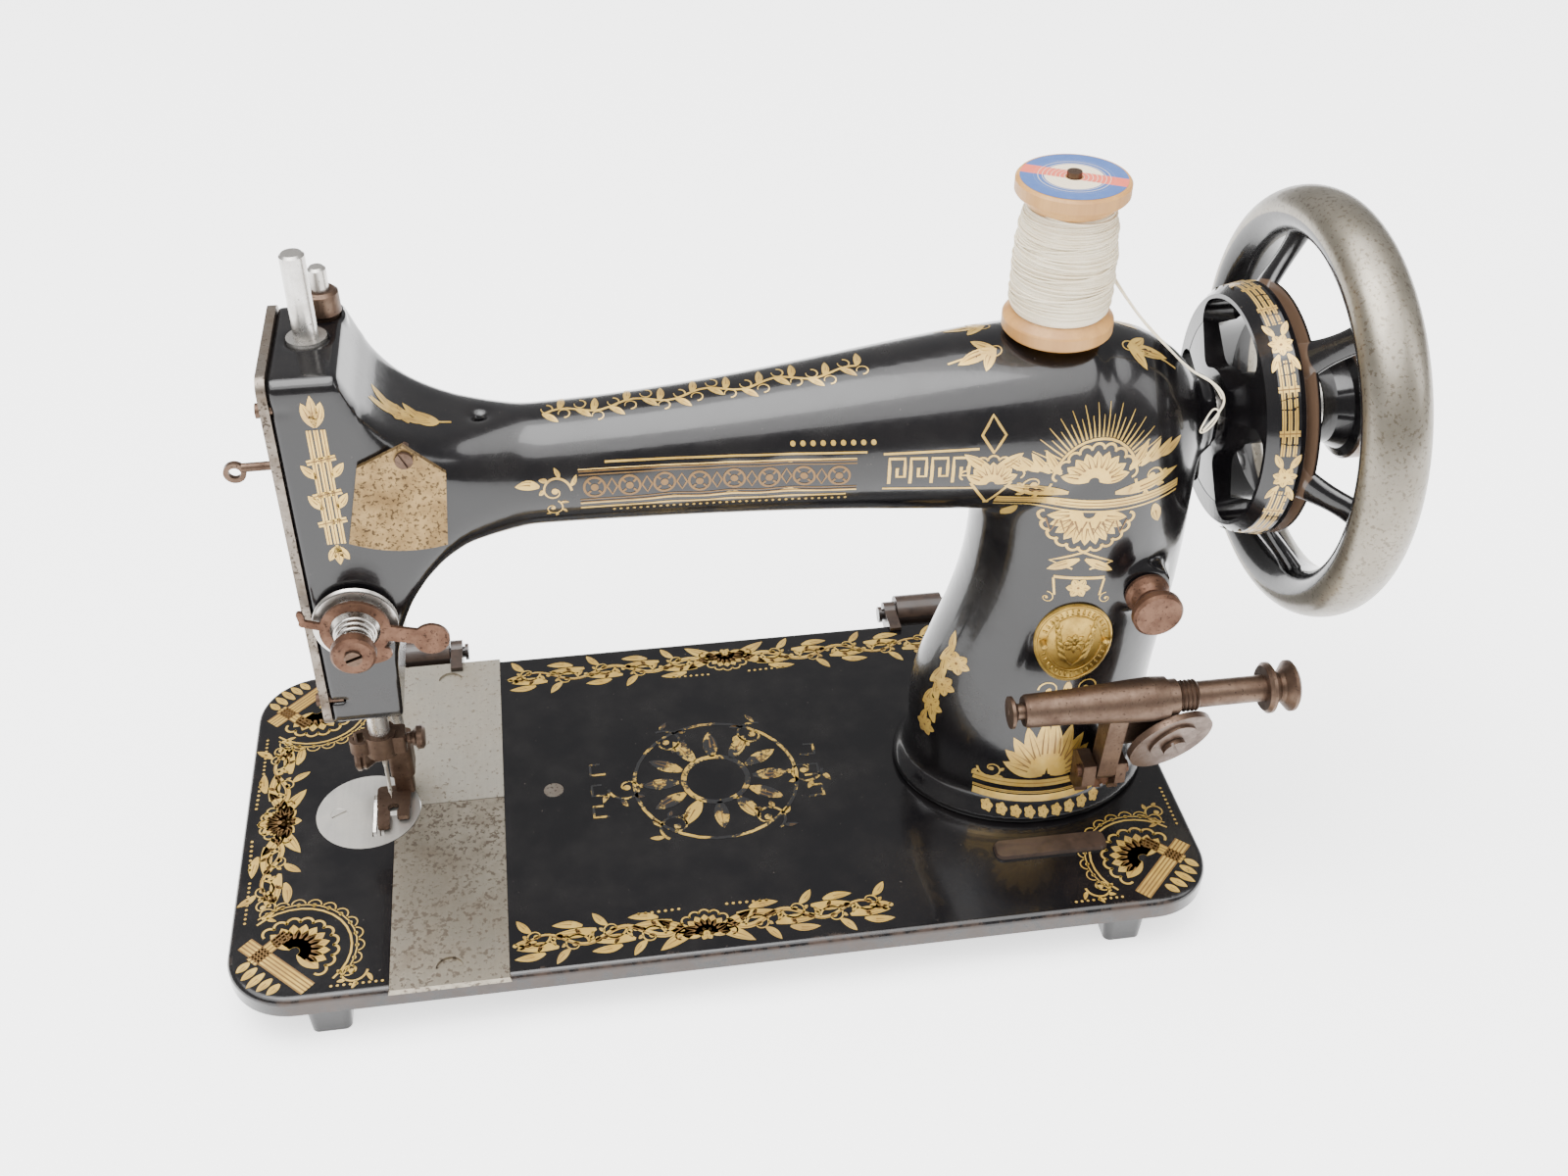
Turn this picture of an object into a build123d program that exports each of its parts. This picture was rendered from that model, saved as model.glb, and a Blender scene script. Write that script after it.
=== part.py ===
from build123d import *
import os
from math import atan2, cos, degrees, exp, pi, radians, sin, sqrt, tan

# Antique treadle sewing machine head: bed, arm, stitch mechanism, wheel, winder and thread.
#
# Frame: millimetres, Z up, X along the bed towards the hand wheel, Y towards the back.
# The origin is on the surface the feet stand on, under the middle of the overall box.
# Places below are written from the bed: its middle in plan, and its top face at height 0.

os.makedirs("parts", exist_ok=True)

# ---- driving dimensions -------------------------------------------------------------------
BED_X = -28.93           # the bed's middle, seen from the middle of the overall box
BED_Y = -9.2
BED_TOP = 24.0           # height of the bed's top face over the surface under the feet

BED_LENGTH = 368.3
BED_WIDTH = 177.8
BED_CORNER = 25.0
BED_RIM = 8.0            # height of the rim
BED_PLATE = 4.5          # thickness of the top plate inside the rim

SHAFT_Z = 159.5          # main shaft axis over the bed
SHAFT_R = 7.0
RUN = 0.05               # radial running clearance

NEEDLE_X = -126.0        # needle bar axis, on the bed's long centre line
NEEDLE_BAR_R = 4.0
STROKE = 23.0            # travel of the needle bar
CRANK_R = 6.4            # throw of the crank pin in the heart-shaped track
ROLLER_R = 2.0

PRESSER_X = -121.5
PRESSER_Y = 16.0
PRESSER_R = 3.0
LIFTER_X = -129.0        # pivot of the presser lifter
LIFTER_Z = 92.0

TAKE_UP_Y = 16.5         # pivot of the take-up lever, on the face plate
TAKE_UP_Z = 160.0
TAKE_UP_R = 29.0

HEAD_LEFT = -137.0
HEAD_FRONT = -28.0
HEAD_BACK = 26.0
HEAD_BOTTOM = 72.0
HEAD_TOP = 213.0
HEAD_WALL = 3.5

PILLAR_X = 134.0         # middle of the pillar's hollow
SLIDE_LEFT = -125.6
SLIDE_RIGHT = -83.0
SLIDE_THICK = 2.5
PLATE_X = -136.2         # needle plate centre
PLATE_Y = 2.4
PLATE_R = 20.2

WHEEL_X = 219.9          # middle of the hand wheel's rim
WHEEL_R = 77.9

TENSION_X = -122.6
TENSION_Z = 120.0
SPOOL_X = 122.5
SPOOL_BASE = 198.6
SPOOL_HEIGHT = 54.5
BADGE_X = 132.0
BADGE_Z = 85.0
WINDER_Y = -50.0
WINDER_Z = 68.0

ROCKER_Z = 85.0          # pivot of the rocking lever
CAM_X = 126.0            # middle of the shuttle cam on the main shaft
CAM_MIN = 8.5
CAM_MAX = 16.5
SHUTTLE_PIVOT_X = 95.0
SHUTTLE_ARM = 199.0      # shuttle lever, from its pivot to the shuttle
LINK_Z = -17.0           # height of the joint between rocking lever and shuttle lever
HINGE_Y = 99.5
HINGE_X = (-115.0, 107.0)

X, Y, Z = (1, 0, 0), (0, 1, 0), (0, 0, 1)
LEFT, FRONT, DOWN = (-1, 0, 0), (0, -1, 0), (0, 0, -1)


# ---- helpers ------------------------------------------------------------------------------
def at(x, y, z):
    """A place given from the bed, as coordinates of the whole object."""
    return (BED_X + x, BED_Y + y, BED_TOP + z)


def level(x, y, z):
    """Plane facing up: its directions are X and Y."""
    return Plane(origin=at(x, y, z))


def front(x, y, z):
    """Plane facing the front: its directions are X and Z, and it extrudes towards -Y."""
    return Plane(origin=at(x, y, z), x_dir=X, z_dir=FRONT)


def end(x, y, z):
    """Plane facing +X: its directions are Y and Z."""
    return Plane(origin=at(x, y, z), x_dir=Y, z_dir=X)


def turn(outline, origin, direction, mode=Mode.ADD):
    """Revolve a closed outline of (distance along the axis, radius) points."""
    normal = Vector(direction).cross(Vector(0.3, 0.5, 0.8)).normalized()
    with BuildSketch(Plane(origin=origin, x_dir=direction, z_dir=normal)) as profile:
        with BuildLine():
            Polyline(*outline, close=True)
        make_face()
    revolve(profile.sketch, axis=Axis(origin, direction), mode=mode)


def rod(start, stop, radius, origin, direction, mode=Mode.ADD):
    """A round bar along an axis, between two distances from the origin."""
    turn([(start, 0), (stop, 0), (stop, radius), (start, radius)], origin, direction, mode)


def tube(start, stop, inner, outer, origin, direction, mode=Mode.ADD):
    """A hollow round bar along an axis."""
    turn([(start, inner), (stop, inner), (stop, outer), (start, outer)], origin, direction, mode)


def slotted(start, stop, radius, slot, origin, direction):
    """A round screw head with a slot across its outer face."""
    rod(start, stop, radius, origin, direction)
    with BuildSketch(Plane(origin=origin, z_dir=direction).offset(stop)) as cut:
        Rectangle(3 * radius, slot, rotation=25)
    extrude(cut.sketch, amount=-slot, mode=Mode.SUBTRACT)


def save(part, name):
    """Label a finished piece and write it as one STEP file."""
    part.part.label = name
    export_step(part.part, "parts/" + name + ".step")


# ---- bed ----------------------------------------------------------------------------------
FEET = [(sx * 149.0, sy * 79.0) for sx in (-1, 1) for sy in (-1, 1)]
ARM_BOLTS = [(127.0, -31.0), (127.0, 31.0)]

with BuildPart() as bed:
    with BuildSketch(level(0, 0, -BED_RIM)):
        RectangleRounded(BED_LENGTH, BED_WIDTH, BED_CORNER)
    extrude(amount=BED_RIM)
    fillet(bed.edges().group_by(Axis.Z)[-1], 2.5)
    with BuildSketch(level(0, 0, -BED_RIM)):
        RectangleRounded(BED_LENGTH - 18, BED_WIDTH - 18, BED_CORNER - 9)
    extrude(amount=BED_RIM - BED_PLATE, mode=Mode.SUBTRACT)
    with BuildSketch(level(0, 0, -BED_PLATE - 0.5)):
        with Locations(*FEET):
            RectangleRounded(17, 13, 4)
    extrude(amount=-(BED_TOP - BED_PLATE - 0.5), taper=4)
    with BuildSketch(level(126, -55, 0)):
        RectangleRounded(45, 10, 3.5)
    extrude(amount=1.8, taper=25)
    rod(BED_PLATE, -LINK_Z - 2.3, 9, at(SHUTTLE_PIVOT_X, 0, 0), DOWN)
    rod(BED_PLATE, 15, 2, at(SHUTTLE_PIVOT_X, 0, 0), DOWN, Mode.SUBTRACT)
    # guide under the plate that carries the feed bar
    with BuildSketch(end(30, 0, 0)):
        with BuildLine():
            Polyline((20, -BED_PLATE), (28, -BED_PLATE), (28, -23.6), (4, -23.6), (4, -22.8), (20, -22.8),
                     close=True)
        make_face()
    extrude(amount=16)
    for hinge_x in HINGE_X:
        for side in (-1, 1):
            with BuildSketch(end(hinge_x + side * 13.5 - 2.5, 0, 0)) as ear:
                with Locations((HINGE_Y - 8, -3)):
                    Rectangle(16, 10)
                with Locations((HINGE_Y, -2.5)):
                    Circle(5.5)
            extrude(amount=5)
        rod(-17, 17, 2.5, at(hinge_x, HINGE_Y, -2.5), X, Mode.SUBTRACT)
    # dovetailed way for the two slide plates, from the front edge to the back edge
    with BuildSketch(front(0, 0, 0)):
        with BuildLine():
            Polyline((SLIDE_LEFT - 0.1, 0.1), (SLIDE_RIGHT + 0.1, 0.1), (SLIDE_RIGHT + 0.7,
                     -SLIDE_THICK - 0.1),
                     (SLIDE_LEFT - 0.7, -SLIDE_THICK - 0.1), close=True)
        make_face()
    extrude(amount=91, both=True, mode=Mode.SUBTRACT)
    # openings under the slides, the needle plate and the pillar
    with BuildSketch(level(0, 0, -BED_RIM)):
        with Locations((-104.5, 0)):
            RectangleRounded(31, 146, 4)
        with Locations((-128.5, 2)):
            RectangleRounded(24, 34, 3)
        with Locations((PILLAR_X, 0)):
            Ellipse(28, 24)
    extrude(amount=BED_RIM + 1, mode=Mode.SUBTRACT)
    rod(-1, SLIDE_THICK, PLATE_R + 0.1, at(PLATE_X, PLATE_Y, 0), DOWN, Mode.SUBTRACT)
    rod(-1, 9, 1.65, at(-147.5, PLATE_Y, 0), DOWN, Mode.SUBTRACT)
    rod(-1, 9, 4.0, at(-63.2, 4, 0), DOWN, Mode.SUBTRACT)
    for bolt_x, bolt_y in ARM_BOLTS:
        rod(-1, 9, 3.05, at(bolt_x, bolt_y, 0), DOWN, Mode.SUBTRACT)
save(bed, "bed")

with BuildPart() as bed_plug:
    rod(0.1, BED_PLATE, 3.95, at(-63.2, 4, 0), DOWN)
save(bed_plug, "bed_plug")

with BuildPart() as arm_bolts:
    for bolt_x, bolt_y in ARM_BOLTS:
        rod(-9, BED_PLATE, 3.0, at(bolt_x, bolt_y, 0), DOWN)
        with BuildSketch(level(bolt_x, bolt_y, -BED_PLATE)):
            RegularPolygon(radius=6, side_count=6)
        extrude(amount=-5)
save(arm_bolts, "arm_bolts")

with BuildPart() as needle_plate:
    with BuildSketch(level(PLATE_X, PLATE_Y, -SLIDE_THICK)):
        Circle(PLATE_R)
    extrude(amount=SLIDE_THICK)
    with BuildSketch(level(0, 0, -SLIDE_THICK)):
        with Locations((NEEDLE_X, 0)):
            SlotOverall(4.2, 2.6)
        with Locations((-133.4, -0.5), (-130.4, -0.5)):
            Rectangle(1.8, 23)
    extrude(amount=SLIDE_THICK, mode=Mode.SUBTRACT)
    turn([(0, 0), (SLIDE_THICK, 0), (SLIDE_THICK, 1.65), (1.6, 1.65), (0, 3.25)], at(-147.5, PLATE_Y, 0),
          DOWN,
         Mode.SUBTRACT)
save(needle_plate, "needle_plate")

with BuildPart() as needle_plate_screw:
    turn([(0.1, 0), (6, 0), (6, 1.6), (1.65, 1.6), (0.1, 3.15)], at(-147.5, PLATE_Y, 0), DOWN)
    with BuildSketch(level(-147.5, PLATE_Y, 0)):
        Rectangle(7, 0.8, rotation=30)
    extrude(amount=-0.8, mode=Mode.SUBTRACT)
save(needle_plate_screw, "needle_plate_screw")


def slide_plate(name, near, far, notch_y):
    """One sliding cover plate, with an arc cut for the needle plate and a finger notch."""
    with BuildPart() as plate:
        with BuildSketch(front(0, near, 0)):
            with BuildLine():
                Polyline((SLIDE_LEFT, 0), (SLIDE_RIGHT, 0), (SLIDE_RIGHT + 0.6, -SLIDE_THICK),
                         (SLIDE_LEFT - 0.6, -SLIDE_THICK), close=True)
            make_face()
        extrude(amount=near - far)
        rod(-1, 4, PLATE_R + 0.35, at(PLATE_X, PLATE_Y, 0), DOWN, Mode.SUBTRACT)
        with BuildSketch(level(-104.3, notch_y, 0)):
            Circle(5)
            with Locations((0, -5)):
                Rectangle(12, 10, mode=Mode.SUBTRACT)
        extrude(amount=-1.2, mode=Mode.SUBTRACT)
    save(plate, name)


slide_plate("slide_front", 2.9, -89.1, -81.5)
slide_plate("slide_back", 89.2, 3.2, 78.0)

with BuildPart() as hinge_pins:
    for hinge_x in HINGE_X:
        rod(-17, 17, 2.45, at(hinge_x, HINGE_Y, -2.5), X)
        rod(-18.5, -17, 3.6, at(hinge_x, HINGE_Y, -2.5), X)
        rod(17, 18.5, 3.6, at(hinge_x, HINGE_Y, -2.5), X)
save(hinge_pins, "hinge_pins")


def cabinet_hinge(name, hinge_x):
    """A knuckle on the bed's pin, with the tongue that is screwed to the cabinet."""
    with BuildPart() as hinge:
        with BuildSketch(end(hinge_x - 10.5, HINGE_Y, -2.5)):
            Circle(8)
            with Locations((5.6, -8)):
                Rectangle(4, 22)
            Circle(2.5, mode=Mode.SUBTRACT)
        extrude(amount=21)
        with BuildSketch(front(hinge_x, HINGE_Y, -16.5)):
            with GridLocations(11, 0, 2, 1):
                Circle(1.8)
        extrude(amount=-12, mode=Mode.SUBTRACT)
    save(hinge, name)


cabinet_hinge("hinge_left", HINGE_X[0])
cabinet_hinge("hinge_right", HINGE_X[1])


# ---- arm casting --------------------------------------------------------------------------
# Pillar: ellipses from the bed up, (height, middle in X, half length, half width).
PILLAR = [(0, 127, 51, 42), (4, 127, 51, 42), (7, 127, 48, 39.5), (20, 127.5, 46.5, 37.5), (45, 128.5,
          47, 35.5),
          (80, 135.4, 43, 33.8), (110, 139, 41, 33.5), (150, 139, 41, 34)]
DOME_Z = 158.0
DOME = (139, 41, 34, 38)         # middle in X, half length, half width, height
for step in range(0, 9):
    tilt = radians(10 * step)
    PILLAR.append((DOME_Z + DOME[3] * sin(tilt), DOME[0], DOME[1] * cos(tilt), DOME[2] * cos(tilt)))
# Arm: circles from the head to the pillar, (X, height of the middle, radius).
ARM = [(-75, 159.3, 21), (-58, 159.3, 21), (-4, 160.6, 23.2), (57, 163.3, 28.5), (98, 164.5, 32.5), (135,
       164.5, 33.5)]
HEAD_SPAN = (-137, -120, -116, -112.6, -111.5, -108, -103, -97, -90, -82, -72, -62)


def head_section(x):
    """Half length, back-to-front middle, top, bottom and corner radius of the head at one X."""
    fade = min(max((x + 92) / 30, 0), 1)
    top = HEAD_TOP if x < -116 else 179 + (HEAD_TOP - 179) * exp(-(x + 116) / 11.5)
    bottom = HEAD_BOTTOM
    if x > -112:
        bottom = 84 + 57 * sqrt(1 - min((x + 74.5) / 38, 0) ** 2)
    bottom = bottom + (138.3 - bottom) * fade
    top = top + (180.3 - top) * fade
    front_y = HEAD_FRONT + (21 + HEAD_FRONT) * -fade
    back_y = HEAD_BACK + (21 - HEAD_BACK) * fade
    corner = 5 + 15.8 * min(max((x + 112) / 50, 0), 1)
    return front_y, back_y, bottom, top, corner


def pillar_body(grow=0.0, mode=Mode.ADD):
    """The pillar's outer skin, grown sideways by a small amount."""
    faces = []
    for height, middle, half_length, half_width in PILLAR:
        with BuildSketch(level(middle, 0, height)) as ring:
            Ellipse(half_length + grow, half_width + grow)
        faces.append(ring.sketch)
    loft(faces, mode=mode)


with BuildPart() as arm:
    # head, hollow and open on the left
    for block_x in HEAD_SPAN:
        front_y, back_y, bottom, top, corner = head_section(block_x)
        with BuildSketch(end(block_x, (front_y + back_y) / 2, (bottom + top) / 2)):
            RectangleRounded(back_y - front_y, top - bottom, corner)
    loft(ruled=True)
    rod(0, HEAD_TOP - 188, 7.2, at(PRESSER_X, PRESSER_Y, 188), Z)
    for low, high, depth in ((78, 192, 21.7), (185, 207, 18.5)):
        with BuildSketch(end(HEAD_LEFT - 1, (HEAD_FRONT + HEAD_BACK) / 2, (low + high) / 2)):
            RectangleRounded(HEAD_BACK - HEAD_FRONT - 2 * HEAD_WALL, high - low, 3)
        extrude(amount=depth, mode=Mode.SUBTRACT)
    rod(-1, 26, 11.5, at(HEAD_LEFT, 0, SHAFT_Z), X, Mode.SUBTRACT)
    rod(-1, 170, 6.5, at(NEEDLE_X, 0, 60), Z, Mode.SUBTRACT)
    rod(0, 40, PRESSER_R + RUN, at(PRESSER_X, PRESSER_Y, 60), Z, Mode.SUBTRACT)
    rod(0, 40, 5.2, at(PRESSER_X, PRESSER_Y, 187), Z, Mode.SUBTRACT)
    rod(0, 30, 2.55, at(LIFTER_X, 10, LIFTER_Z), Y, Mode.SUBTRACT)
    # pillar and arm, hollow under the shaft, with a round hole at the back
    pillar_body()
    for ring_x, ring_z, ring_r in ARM:
        with BuildSketch(end(ring_x, 0, ring_z)):
            Circle(ring_r)
    loft()
    rod(0, 20, 10.5, at(156, -15, 107), FRONT)
    rod(20, 35.2, 21, at(PILLAR_X, 0, 70), Y)
    rod(0, 24, 14.5, at(158, 0, SHAFT_Z), X)
    with BuildSketch(level(PILLAR_X, 0, -1)):
        Ellipse(28, 24)
    extrude(amount=178, mode=Mode.SUBTRACT)
    rod(15, 45, 17, at(PILLAR_X, 0, 70), Y, Mode.SUBTRACT)
    for side in (-1, 1):
        rod(30, 40, 1.5, at(PILLAR_X, 0, 70 + side * 18.9), Y, Mode.SUBTRACT)
    # shaft bore, screw holes and pin holes
    rod(0, 330, 9, at(-118, 0, SHAFT_Z), X, Mode.SUBTRACT)
    rod(-8, 3, 3.0, at(TENSION_X, HEAD_FRONT, TENSION_Z), FRONT, Mode.SUBTRACT)
    rod(-2, 30, 3.55, at(156, -15, 107), FRONT, Mode.SUBTRACT)
    rod(-6, 2, 1.6, at(-98.5, HEAD_FRONT, 184), FRONT, Mode.SUBTRACT)
    rod(0, 20, 2.5, at(SPOOL_X, 0, 184), Z, Mode.SUBTRACT)
    rod(100, 185, 4, at(0, 0, ROCKER_Z), X, Mode.SUBTRACT)
    rod(-20, 2, 2.0, at(-75, 0, 181), Z, Mode.SUBTRACT)
    rod(0, 22, 2.5, at(146, -44, 23), Y, Mode.SUBTRACT)
    for side in (-1, 1):
        rod(28, 40, 1.3, at(BADGE_X + side * 11.6, 0, BADGE_Z), FRONT, Mode.SUBTRACT)
    for bolt_x, bolt_y in ARM_BOLTS:
        rod(-1, 9, 3.0, at(bolt_x, bolt_y, 0), Z, Mode.SUBTRACT)
    for screw_z in (84, 203):
        rod(-1, 7, 1.6, at(HEAD_LEFT, -25.6, screw_z), X, Mode.SUBTRACT)
save(arm, "arm")

with BuildPart() as bushings:
    tube(HEAD_BOTTOM - 1, 78, NEEDLE_BAR_R + RUN, 6.5, at(NEEDLE_X, 0, 0), Z)
    tube(208, HEAD_TOP + 1, NEEDLE_BAR_R + RUN, 6.5, at(NEEDLE_X, 0, 0), Z)
    tube(-110.5, -90, SHAFT_R + RUN, 9, at(0, 0, SHAFT_Z), X)
    tube(164, 183, SHAFT_R + RUN, 9, at(0, 0, SHAFT_Z), X)
save(bushings, "bushings")

with BuildPart() as face_plate:
    with BuildSketch(end(HEAD_LEFT - 3, (HEAD_FRONT + HEAD_BACK) / 2, (HEAD_BOTTOM + HEAD_TOP) / 2 + 0.5)):
        RectangleRounded(HEAD_BACK - HEAD_FRONT, HEAD_TOP - HEAD_BOTTOM + 1, 5)
    extrude(amount=3)
    # arc-shaped slot for the take-up lever
    with BuildSketch(end(HEAD_LEFT - 4, 0, 0)):
        with BuildLine():
            outer = CenterArc((TAKE_UP_Y, TAKE_UP_Z), TAKE_UP_R + 3.3, 148, 64)
            inner = CenterArc((TAKE_UP_Y, TAKE_UP_Z), TAKE_UP_R - 3.3, 148, 64)
            Line(outer @ 0, inner @ 0)
            Line(outer @ 1, inner @ 1)
        make_face()
    extrude(amount=5, mode=Mode.SUBTRACT)
    rod(0, 5, 2.5, at(HEAD_LEFT, TAKE_UP_Y, TAKE_UP_Z), X)
    for screw_z in (84, 203):
        rod(-4, 1, 1.6, at(HEAD_LEFT, -25.6, screw_z), X, Mode.SUBTRACT)
save(face_plate, "face_plate")


# ---- needle drive -------------------------------------------------------------------------
def heart_track():
    """Path of the crank roller in the needle bar's track, in (Y, Z) from its middle."""
    points = []
    for step in range(48):
        angle = 2 * pi * step / 48
        share = angle / pi if angle < pi else 2 - angle / pi
        points.append((CRANK_R * sin(angle), CRANK_R * cos(angle) - STROKE / 2 + STROKE * share))
    return points


TRACK_Z = SHAFT_Z + STROKE / 2       # middle of the heart track with the needle up
TRACK_X = -117.7                     # open side of the track

with BuildPart() as arm_shaft:
    turn([(-113, 0), (240, 0), (240, 5), (221, 5), (221, SHAFT_R), (-112.5, SHAFT_R), (-113, SHAFT_R - 0.5)],
         at(0, 0, SHAFT_Z), X)
save(arm_shaft, "arm_shaft")

with BuildPart() as needle_crank:
    rod(-117.0, -113.0, 10.8, at(0, 0, SHAFT_Z), X)
    rod(-120.7, -117.0, ROLLER_R, at(0, 0, SHAFT_Z + CRANK_R), X)
save(needle_crank, "needle_crank")

with BuildPart() as needle_bar:
    turn([(34, 0), (243, 0), (243, 3.2), (242.2, NEEDLE_BAR_R), (34.4, NEEDLE_BAR_R), (34, 3.6)],
         at(NEEDLE_X, 0, 0), Z)
    rod(33, 46, 1.1, at(NEEDLE_X, 0, 0), Z, Mode.SUBTRACT)
save(needle_bar, "needle_bar")

with BuildPart() as needle_bar_yoke:
    with BuildSketch(end(TRACK_X - 5, 0, TRACK_Z)):
        with BuildLine():
            Polyline(*heart_track(), close=True)
        make_face()
        offset(amount=ROLLER_R + 2.6)
    extrude(amount=5)
    rod(TRACK_Z - 8, TRACK_Z + 8, 7.2, at(NEEDLE_X, 0, 0), Z)
    with BuildSketch(end(TRACK_X, 0, TRACK_Z)):
        with BuildLine():
            Polyline(*heart_track(), close=True)
        make_face()
        offset(amount=ROLLER_R + 0.3)
    extrude(amount=-3.4, mode=Mode.SUBTRACT)
    rod(TRACK_Z - 12, TRACK_Z + 12, NEEDLE_BAR_R, at(NEEDLE_X, 0, 0), Z, Mode.SUBTRACT)
save(needle_bar_yoke, "needle_bar_yoke")

with BuildPart() as needle_clamp:
    rod(34, 44, 6.2, at(NEEDLE_X, 0, 0), Z)
    with BuildSketch(level(NEEDLE_X + 5.5, 0, 35)):
        RectangleRounded(8, 8, 1.5)
    extrude(amount=8)
    # open ring on the left that guides the thread
    with BuildSketch(level(NEEDLE_X - 7.5, 0, 35.5)):
        Circle(4.4)
        Circle(2.8, mode=Mode.SUBTRACT)
        with Locations((-3.5, 2.6)):
            Rectangle(4, 1.6, rotation=-35, mode=Mode.SUBTRACT)
    extrude(amount=6)
    rod(30, 50, NEEDLE_BAR_R, at(NEEDLE_X, 0, 0), Z, Mode.SUBTRACT)
    rod(0, 20, 1.7, at(NEEDLE_X, 0, 39), X, Mode.SUBTRACT)
save(needle_clamp, "needle_clamp")

with BuildPart() as needle:
    turn([(8, 0), (12, 0.75), (26, 0.8), (27.5, 1.05), (45, 1.05), (45, 0)], at(NEEDLE_X, 0, 0), Z)
    rod(-3, 3, 0.4, at(NEEDLE_X, 0, 13.5), Y, Mode.SUBTRACT)
save(needle, "needle")

with BuildPart() as needle_clamp_screw:
    turn([(4.3, 0), (16.5, 0), (16.5, 3.6), (15.6, 4.6), (13.6, 4.6), (12.8, 3.4), (11, 2.2), (9.9, 2.2),
          (9.9, 1.65),
          (4.3, 1.65)], at(NEEDLE_X, 0, 39), X)
save(needle_clamp_screw, "needle_clamp_screw")

TAKE_UP_TILT = 25.5      # rise of the take-up lever's arm at rest
TIP_Y = TAKE_UP_Y - TAKE_UP_R * cos(radians(TAKE_UP_TILT))
TIP_Z = TAKE_UP_Z + TAKE_UP_R * sin(radians(TAKE_UP_TILT))

with BuildPart() as take_up_lever:
    with BuildSketch(end(-136.0, TAKE_UP_Y, TAKE_UP_Z)):
        Circle(4.8)
        with Locations(((TIP_Y - TAKE_UP_Y) / 2, (TIP_Z - TAKE_UP_Z) / 2)):
            SlotOverall(TAKE_UP_R + 5, 5, rotation=-TAKE_UP_TILT)
        Circle(2.55, mode=Mode.SUBTRACT)
    extrude(amount=2)
    rod(-152.5, -134.0, 1.5, at(0, TIP_Y, TIP_Z), X)
    with BuildSketch(front(-155.0, TIP_Y + 1.0, TIP_Z - 1.5)):
        Circle(3.7)
        Circle(2.0, mode=Mode.SUBTRACT)
    extrude(amount=2)
save(take_up_lever, "take_up_lever")

# ---- presser ------------------------------------------------------------------------------
FOOT_SCREW_Z = 19.0

with BuildPart() as presser_bar:
    turn([(14, 0), (230, 0), (230, 2.2), (229.2, PRESSER_R), (14, PRESSER_R)], at(PRESSER_X, PRESSER_Y, 0), Z)
save(presser_bar, "presser_bar")

with BuildPart() as presser_bar_guide:
    with BuildSketch(level(-124.2, 14.9, LIFTER_Z + 3.9)):
        RectangleRounded(14, 12, 1.5)
    extrude(amount=10)
    rod(184.6, 187, 4.8, at(PRESSER_X, PRESSER_Y, 0), Z)
    rod(80, 200, PRESSER_R, at(PRESSER_X, PRESSER_Y, 0), Z, Mode.SUBTRACT)
save(presser_bar_guide, "presser_bar_guide")

with BuildPart() as presser_spring:
    with BuildLine() as coil:
        Helix(pitch=4.0, height=19.2, radius=3.9, center=at(PRESSER_X, PRESSER_Y, 188.2))
    with BuildSketch(Plane(origin=coil.line @ 0, z_dir=coil.line % 0)):
        Circle(0.6)
    sweep()
save(presser_spring, "presser_spring")

with BuildPart() as presser_regulating_screw:
    turn([(209, 3.1), (222, 3.1), (222, 4.6), (221, 5.7), (214.2, 5.9), (213.2, 5.1), (209, 5.1)],
         at(PRESSER_X, PRESSER_Y, 0), Z)
save(presser_regulating_screw, "presser_regulating_screw")

with BuildPart() as presser_foot:
    with BuildSketch(level(PRESSER_X, PRESSER_Y - 1.5, 11)):
        RectangleRounded(9.5, 12.5, 2)
    extrude(amount=15)
    with BuildSketch(level(PRESSER_X, 11.5, 2)):
        RectangleRounded(7.5, 5.5, 1)
    extrude(amount=10)
    with BuildSketch(level(0, 0, 1.2)):
        with Locations((-126, 6)):
            RectangleRounded(13, 13, 2)
        with Locations((-129.6, -4)):
            RectangleRounded(4.6, 12, 1)
        with Locations((-122.2, -1.5)):
            RectangleRounded(4.8, 7.5, 1)
        with Locations((NEEDLE_X, 0)):
            Circle(2.2, mode=Mode.SUBTRACT)
    extrude(amount=2.0)
    rod(14, 30, PRESSER_R, at(PRESSER_X, PRESSER_Y, 0), Z, Mode.SUBTRACT)
save(presser_foot, "presser_foot")

with BuildPart() as presser_foot_screw:
    turn([(4.8, 0), (17.5, 0), (17.5, 4.6), (16.6, 5.6), (15.2, 5.6), (14.6, 4.8), (14.0, 5.2), (13.2, 5.2),
          (10, 3.0), (6.5, 2.6), (4.8, 2.6)], at(PRESSER_X, PRESSER_Y - 2, FOOT_SCREW_Z), LEFT)
save(presser_foot_screw, "presser_foot_screw")

with BuildPart() as presser_lifter:
    rod(9.3, 32, 2.5, at(LIFTER_X, 0, LIFTER_Z), Y)
    with BuildSketch(front(LIFTER_X, 9.2, LIFTER_Z)):
        SlotCenterPoint((3.55, 0), (7.1, 0), 5)
    extrude(amount=-3.2)
    with BuildSketch(front(LIFTER_X, 28, LIFTER_Z)):
        Circle(6)
        with Locations((0, -15)):
            Rectangle(7, 30)
        with Locations((0, -30)):
            Circle(6.5)
    extrude(amount=-3.5)
save(presser_lifter, "presser_lifter")

# ---- tension ------------------------------------------------------------------------------
TENSION = at(TENSION_X, HEAD_FRONT, TENSION_Z)

with BuildPart() as tension_stud:
    rod(-8, 21.5, 2.95, TENSION, FRONT)
    with BuildSketch(Plane(origin=TENSION, x_dir=X, z_dir=FRONT).offset(21.5)):
        Rectangle(8, 1.2, rotation=20)
    extrude(amount=-5, mode=Mode.SUBTRACT)
save(tension_stud, "tension_stud")

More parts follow.
